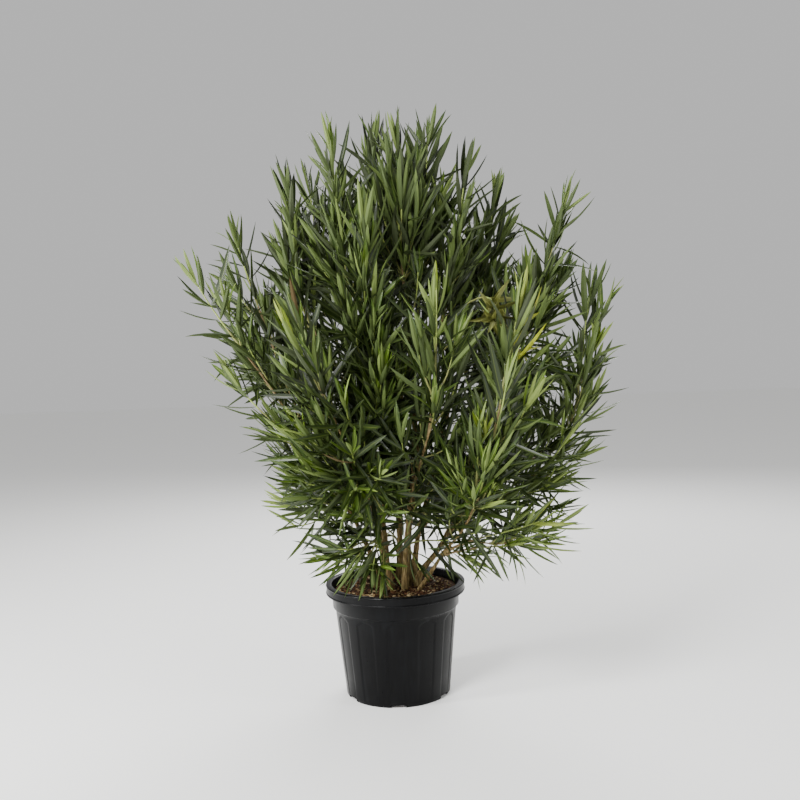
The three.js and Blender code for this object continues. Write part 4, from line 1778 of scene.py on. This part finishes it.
@dataclass
class Mulch:
    """The potting soil and its layer of composted bark chips."""

    top: float = SOIL_TOP
    radius: float = 0.1485
    foot_radius: float = 0.121
    foot: float = 5.6 * MM
    ring: float = 4 * MM
    relief: float = 9 * MM
    chip_count: int = 700
    seed: int = 7

    # Width of the heaps and their share of the relief.
    HEAPS = ((26 * MM, 0.7), (7 * MM, 0.5))
    # Length, width and thickness of the chips in millimetres.
    CHIPS = ((17, 6.5, 2.4), (12, 8, 3.0), (25, 3.2, 1.8), (8, 6, 2.6))
    TONES = ("#543624", "#755136", "#34221a", "#9d835c", "#b8a47c")
    TONE_WEIGHTS = (5, 4, 3, 3, 2.4)

    def lay_soil(self) -> bpy.types.Object:
        """Builds the body of soil with an uneven crumbly top.

        Returns:
            The soil.
        """
        deselect_everything()
        depth = self.top - self.foot
        bpy.ops.mesh.primitive_cylinder_add(
            vertices=96, radius=self.radius, depth=depth, location=(0, 0, self.foot + depth / 2))
        soil = bpy.context.object
        soil.name = soil.data.name = "potting_soil"
        settle(soil)
        bpy.ops.object.mode_set(mode="EDIT")
        select_corners(soil, lambda co: co.z < self.foot + MM)
        share = self.foot_radius / self.radius
        bpy.ops.transform.resize(value=(share, share, 1), center_override=(0, 0, 0))
        bpy.ops.mesh.select_mode(type="FACE")
        select_faces(soil, lambda middle, normal: normal.z > 0.9)
        for _ in range(int(self.radius / self.ring) - 1):
            bpy.ops.mesh.inset(thickness=self.ring)
        bpy.ops.mesh.poke()
        bpy.ops.mesh.select_mode(type="VERT")
        bpy.ops.object.mode_set(mode="OBJECT")
        top = soil.vertex_groups.new(name="top")
        surface = [v.index for v in soil.data.vertices
                   if v.co.z > self.top - MM and v.co.xy.length < self.radius - 2 * MM]
        top.add(surface, 1.0, "REPLACE")
        for width, share in self.HEAPS:
            texture = bpy.data.textures.new("heaps", "CLOUDS")
            texture.noise_scale = width
            apply_modifier(soil, "DISPLACE", texture=texture, strength=self.relief * share, mid_level=0.5,
                           direction="Z", texture_coords="LOCAL", vertex_group="top")
            bpy.data.textures.remove(texture)
        soil.vertex_groups.clear()
        work_on(soil)
        bpy.ops.object.shade_smooth_by_angle(angle=math.radians(50))
        soil.data.materials.clear()
        soil.data.materials.append(BarkMulch().material())
        return soil

    def model_chip(self, size: tuple[float, float, float], tone: int) -> Shape:
        """Models one flat splintered chip.

        Args:
            size: Its length, width and thickness in millimetres.
            tone: Its material number.

        Returns:
            The chip's shape.
        """
        deselect_everything()
        bpy.ops.mesh.primitive_cylinder_add(vertices=6, radius=0.5, depth=1)
        chip = bpy.context.object
        chip.scale = [side * MM for side in size]
        settle(chip)
        bpy.ops.object.mode_set(mode="EDIT")
        bpy.ops.mesh.select_all(action="SELECT")
        bpy.ops.transform.vertex_random(offset=size[1] * 0.16 * MM, seed=int(size[0]))
        bpy.ops.object.mode_set(mode="OBJECT")
        apply_modifier(chip, "BEVEL", width=0.5 * MM, segments=1)
        for face in chip.data.polygons:
            face.material_index = tone
        return Shape.of(chip)

    def scatter_chips(self, soil: bpy.types.Object) -> bpy.types.Object:
        """Scatters chips over the soil, lying as they fell.

        Args:
            soil: The finished soil.

        Returns:
            The chips, joined.
        """
        draw = random.Random(self.seed)
        ground = BVHTree.FromPolygons(
            [v.co for v in soil.data.vertices], [tuple(p.vertices) for p in soil.data.polygons])
        tones = range(len(self.TONES))
        shapes = [[self.model_chip(size, tone) for tone in tones] for size in self.CHIPS]
        gathering = Gathering()
        for _ in range(self.chip_count):
            reach = (self.radius - 12 * MM) * math.sqrt(draw.random())
            turn = draw.uniform(0, math.tau)
            above = Vector((reach * math.cos(turn), reach * math.sin(turn), self.top + 0.1))
            place, normal, _, _ = ground.ray_cast(above, Vector((0, 0, -1)))
            tone = draw.choices(tones, self.TONE_WEIGHTS)[0]
            shape = draw.choice(shapes)[tone]
            lie = normal.to_track_quat("Z", "Y") @ Quaternion((0, 0, 1), draw.uniform(0, math.tau))
            lie = lie @ Quaternion((1, 0, 0), draw.gauss(0, 0.3))
            lie = lie @ Quaternion((0, 1, 0), draw.gauss(0, 0.25))
            spin = np.array(lie.to_matrix(), float) * draw.uniform(0.6, 1.1)
            rise = normal * draw.uniform(0.5, 3.0) * MM
            gathering.add(shape, shape.corners @ spin.T + np.array(place + rise))
        finishes = [
            BarkMulch(f"bark_chip_{i + 1}", crumb=3 * MM, stops=(
                (0.3, shade_of(tone, 0.6)), (0.55, tone), (0.8, shade_of(tone, 1.25)))).material()
            for i, tone in enumerate(self.TONES)
        ]
        return gathering.build("bark_chips", finishes, sharp_from=30)

    def build(self) -> None:
        """Builds and dresses the soil and its chips."""
        soil = self.lay_soil()
        chips = self.scatter_chips(soil)
        hand_over(soil, ["soil"])
        hand_over(chips)


# --------------------------------------------------------------------------------- studio
@dataclass(frozen=True)
class Studio:
    """A plain pale floor, soft lights and the camera."""

    camera_place: tuple[float, float, float] = (0.0264, -2.2, 0.814)
    camera_aim: tuple[float, float, float] = (0.0264, 0.0, 0.712)
    camera_roll: float = -0.0329
    lens: float = 40.77
    floor_size: float = 30.0
    world_strength: float = 0.6

    def build(self) -> None:
        """Builds the floor, the lights, the world and the camera."""
        self.lay_floor()
        self.hang_lights()
        self.set_camera()

    def lay_floor(self) -> None:
        """Lays the floor."""
        deselect_everything()
        bpy.ops.mesh.primitive_plane_add(size=self.floor_size, location=(0, 0, 0))
        floor = bpy.context.object
        floor.name = "studio_floor"
        paper = bpy.data.materials.new("matte_backdrop_paper")
        paper.use_nodes = True
        surface = paper.node_tree.nodes["Principled BSDF"]
        surface.inputs["Base Color"].default_value = linear("#fafaf8")
        surface.inputs["Roughness"].default_value = 0.85
        floor.data.materials.append(paper)

    def hang_lights(self) -> None:
        """Hangs the soft boxes and sets the pale world."""
        aim = Vector(self.camera_aim)
        boxes = (
            ("key", (-1.5, -2.4, 2.8), (1.0, 1.0), 160.0),
            ("left_strip", (-2.5, -0.95, 1.1), (0.45, 1.9), 78.0),
            ("right_strip", (2.5, -1.00, 1.2), (0.45, 1.9), 26.0),
            ("back", (0.6, 2.4, 2.6), (1.8, 1.8), 105.0),
            ("low_front", (-0.8, -2.1, 0.3), (1.4, 0.4), 12.0),
        )
        for name, place, (width, height), watts in boxes:
            lamp = bpy.data.lights.new("softbox_" + name, "AREA")
            lamp.shape = "RECTANGLE"
            lamp.size = width
            lamp.size_y = height
            lamp.energy = watts
            box = bpy.data.objects.new(lamp.name, lamp)
            box.location = place
            box.rotation_euler = (aim - Vector(place)).to_track_quat("-Z", "Y").to_euler()
            bpy.context.scene.collection.objects.link(box)
        world = bpy.data.worlds.new("pale_studio")
        world.use_nodes = True
        sky = world.node_tree.nodes["Background"]
        sky.inputs["Color"].default_value = linear("#ffffff")
        sky.inputs["Strength"].default_value = self.world_strength
        bpy.context.scene.world = world

    def set_camera(self) -> None:
        """Sets the camera."""
        lens = bpy.data.cameras.new("camera")
        lens.lens = self.lens
        lens.sensor_width = 36.0
        camera = bpy.data.objects.new("camera", lens)
        place, aim = Vector(self.camera_place), Vector(self.camera_aim)
        turn = (aim - place).to_track_quat("-Z", "Y").to_matrix()
        turn = turn @ Matrix.Rotation(self.camera_roll, 3, "Z")
        camera.matrix_world = Matrix.Translation(place) @ turn.to_4x4()
        bpy.context.scene.collection.objects.link(camera)
        bpy.context.scene.camera = camera


def main() -> None:
    """Builds the plant, its pot and the studio."""
    logging.basicConfig(level=logging.INFO, format="%(name)s %(message)s")
    Studio().build()
    NurseryPot().build()
    Mulch().build()
    skeleton = Skeleton.from_frame()
    BarkedWood(skeleton).build()
    Crown(skeleton).build()
    deselect_everything()


if __name__ == "__main__":
    main()
